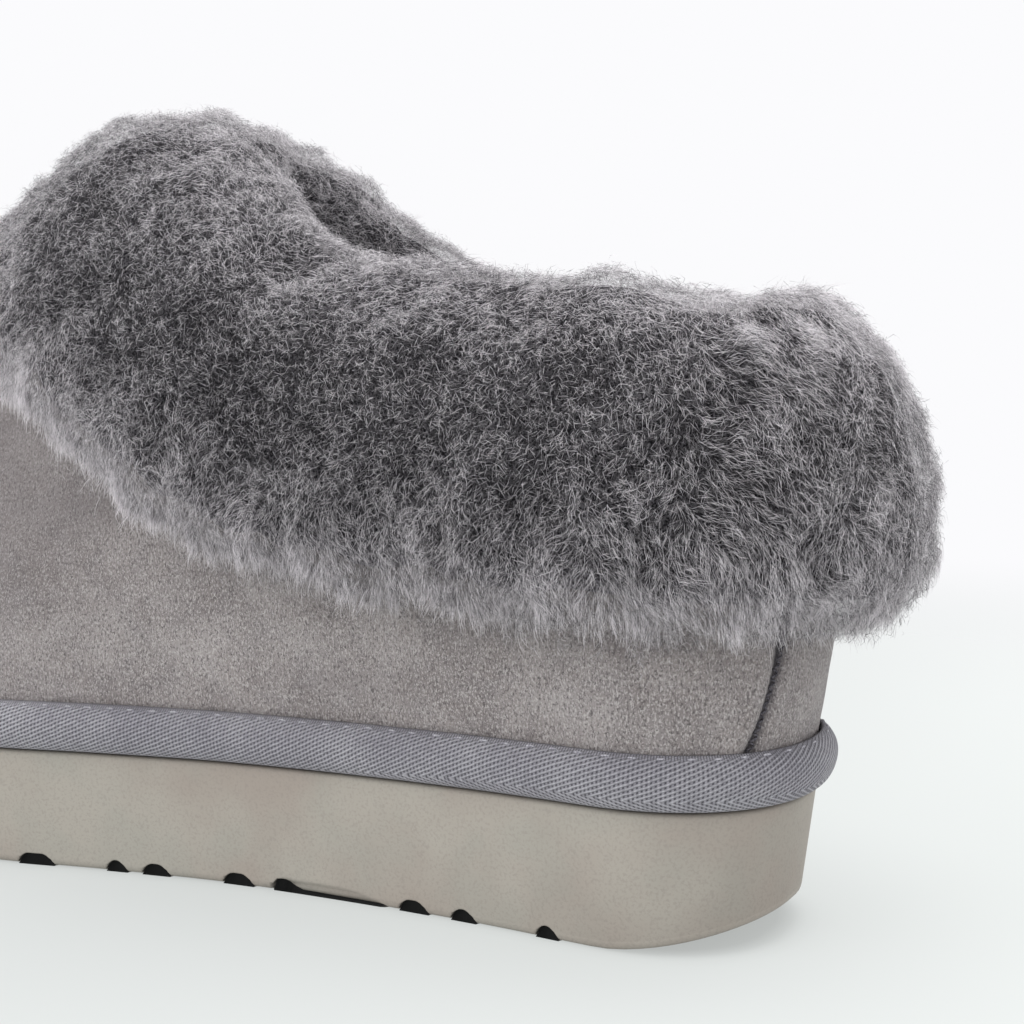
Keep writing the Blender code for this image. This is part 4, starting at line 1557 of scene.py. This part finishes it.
def below_edge(face, distance):
    """A line round the tape this far below its upper edge, measured over its surface."""
    lengths = np.linalg.norm(np.diff(face, axis=0), axis=-1).mean(axis=1)
    below = np.concatenate([np.cumsum(lengths[::-1])[::-1], [0.0]]) / MM
    row = np.interp(distance, below[::-1], np.arange(len(face))[::-1])
    low = int(row)
    return face[low] + (face[low + 1] - face[low]) * (row - low)


def make_stitches(face, look):
    """A row of short stitches along the tape's upper edge."""
    line, over = below_edge(face, STITCH_BELOW), below_edge(face, 0.05)
    along = running(steps_round(line))
    count = int(along[-1] / (STITCH_PITCH * MM))
    closed, over = (np.concatenate([loop, loop[:1]]) for loop in (line, over))
    lines = []
    starts = np.arange(count) * along[-1] / count
    random = np.random.default_rng(701)
    for start in starts:
        sunk = random.uniform(0.0, 0.22) * MM
        start = start + random.uniform(-0.3, 0.3) * MM
        at = start + np.array([0.0, 0.25, 0.5, 0.75, 1.0]) * STITCH_LENGTH * random.uniform(0.8, 1.05) * MM
        points, upper = read_line(at, along, closed), read_line(at, along, over)
        climb = unit(upper - points)
        run = unit(np.gradient(points, axis=0))
        facing = unit(np.cross(run, climb))
        facing *= np.sign((facing * (points - np.array([MIDDLE_X * MM, 0, 0.03]))).sum())
        lift = np.array([-0.25, 0.14, 0.22, 0.14, -0.25]) * MM
        lines.append(points + facing * (lift - sunk)[:, None])
    mesh = thread_mesh("tape_stitches", np.array(lines), TAPE_THREAD_RADIUS * MM, sides=6)
    piece("tape_stitches", mesh, look)


# ---- stage, light and camera

FLOOR_REACH = 3.0  # in metres
FLOOR_NEAR, FLOOR_FAR = 0.14, 0.85  # the floor melts into the backdrop between these distances, in metres
FLOOR_FRONT, FLOOR_BACK = -0.02, 0.15  # y between which its glow rises, in metres; the glow, painted light, is lower towards the toe
# strength of the floor's glow, painted light, at those two places
GLOW_FRONT, GLOW_BACK = 0.56, 0.645
CONTACT_TABLE = Table("offset glow", (  # distance out of the sole's foot, and the floor's glow there; the lower glow by the sole is a painted contact shadow
    (-20, 0.66),
    (-3, 0.70),
    (0, 0.80),
    (1.5, 0.89),
    (3, 0.95),
    (6, 0.99),
    (10, 1),
    (30, 1),
))
LIT_POINT = (0, 0, 0.06)
LIGHT_SIZE = 0.9
LIGHT_TABLE = Table("name place power", (  # places in metres, power in watts
    ("top_light", (-0.1, 0.1, 1.1), 9.0),
    ("side_light", (0.9, -0.5, 0.7), 5.0),
))
CAMERA_AT = (279.51, 94.71, 102.08)  # towards the inner side, behind the back edge, and up, in millimetres
CAMERA_TURN = 0.52274  # radians from straight across the shoe towards the toe
CAMERA_PITCH = 0.06394
LENS = 52.734


def make_stage():
    """The floor: pale, and faintly glowing, painted light that keeps shadows soft; the glow is lower right by
    the sole, a painted contact shadow, and a little lower towards the toe.
    """
    turns = even_turns(120)
    foot = sole_edge(turns) - outward(sole_edge(turns)) * (SOLE_TAPER + SOLE_EDGE) * MM
    foot[:, 2] = 0
    rows = [foot + outward(foot) * offset * MM for offset in CONTACT_TABLE.column("offset")]
    centre = foot.mean(axis=0)
    rows.append(centre + unit(foot - centre) * FLOOR_REACH)
    glow = np.append(CONTACT_TABLE.column("glow"), 1.0)
    glow = np.broadcast_to(glow[:, None], (len(rows), len(turns)))
    mesh = grid_mesh("floor", np.array(rows), is_tube=False, values={"glow": glow})
    mesh = closed_ends(mesh, 1, len(turns))
    look = Look("floor", Roughness=0.9, Specular_IOR_Level=0.0)
    look.shader.inputs["Emission Color"].default_value = (*FLOOR_GLOW, 1.0)
    here = look.position()
    away = look.node("VectorMath", operation="LENGTH", Vector=here)
    tint = look.noise(here, 3, 2, 0.5)
    color = look.mix(look.span(tint, 0.3, 0.7), FLOOR_DARK, FLOOR_LIGHT)
    fade = look.span(look.parts(here)[1], FLOOR_FRONT, FLOOR_BACK, GLOW_FRONT, GLOW_BACK)
    look.feed(look.shader.inputs["Emission Strength"], look.times(look.attribute("glow"), fade))
    look.feed(look.shader.inputs["Alpha"], look.span(away.outputs["Value"], FLOOR_NEAR, FLOOR_FAR, 1.0, 0.0))
    mesh.materials.append(look.finish(color))
    floor = put("floor", mesh)


def make_lights():
    world = bpy.data.worlds.new("studio")
    world.use_nodes = True
    background = world.node_tree.nodes["Background"].inputs
    background["Color"].default_value = (*STUDIO, 1.0)
    background["Strength"].default_value = 1.0
    bpy.context.scene.world = world
    for name, at, power in LIGHT_TABLE.rows:
        data = bpy.data.lights.new(name, "AREA")
        data.shape = "DISK"
        data.size = LIGHT_SIZE
        data.energy = power
        place_facing(put(name, data), at, Vector(LIT_POINT) - Vector(at))


def place_facing(made, at, aim):
    made.location = at
    made.rotation_euler = aim.to_track_quat("-Z", "Y").to_euler()


def make_camera():
    data = bpy.data.cameras.new("camera")
    data.lens = LENS
    data.clip_start = 0.01
    made = put("camera", data)
    level = math.cos(CAMERA_PITCH)
    aim = Vector((-math.cos(CAMERA_TURN) * level, -math.sin(CAMERA_TURN) * level, -math.sin(CAMERA_PITCH)))
    across, behind, up = CAMERA_AT
    place_facing(made, place(-behind, across, up), aim)
    bpy.context.scene.camera = made


# ---- put together

def main():
    bpy.context.scene.view_settings.view_transform = "Standard"
    make_camera()
    make_stage()
    make_lights()
    make_outsole()
    make_upper()
    make_seam_thread(thread_look("seam_thread", SEAM_THREAD_DARK, SEAM_THREAD_LIGHT))
    make_stitches(make_tape(), thread_look("tape_thread", TAPE_THREAD_DARK, TAPE_THREAD_LIGHT))
    wool = fur_look()
    shell = Shell()
    make_pile(shell)
    grow_fur(shell, wool)
    grow_fringe(shell, wool)
    grow_lining(wool)
    make_footbed(wool)


main()
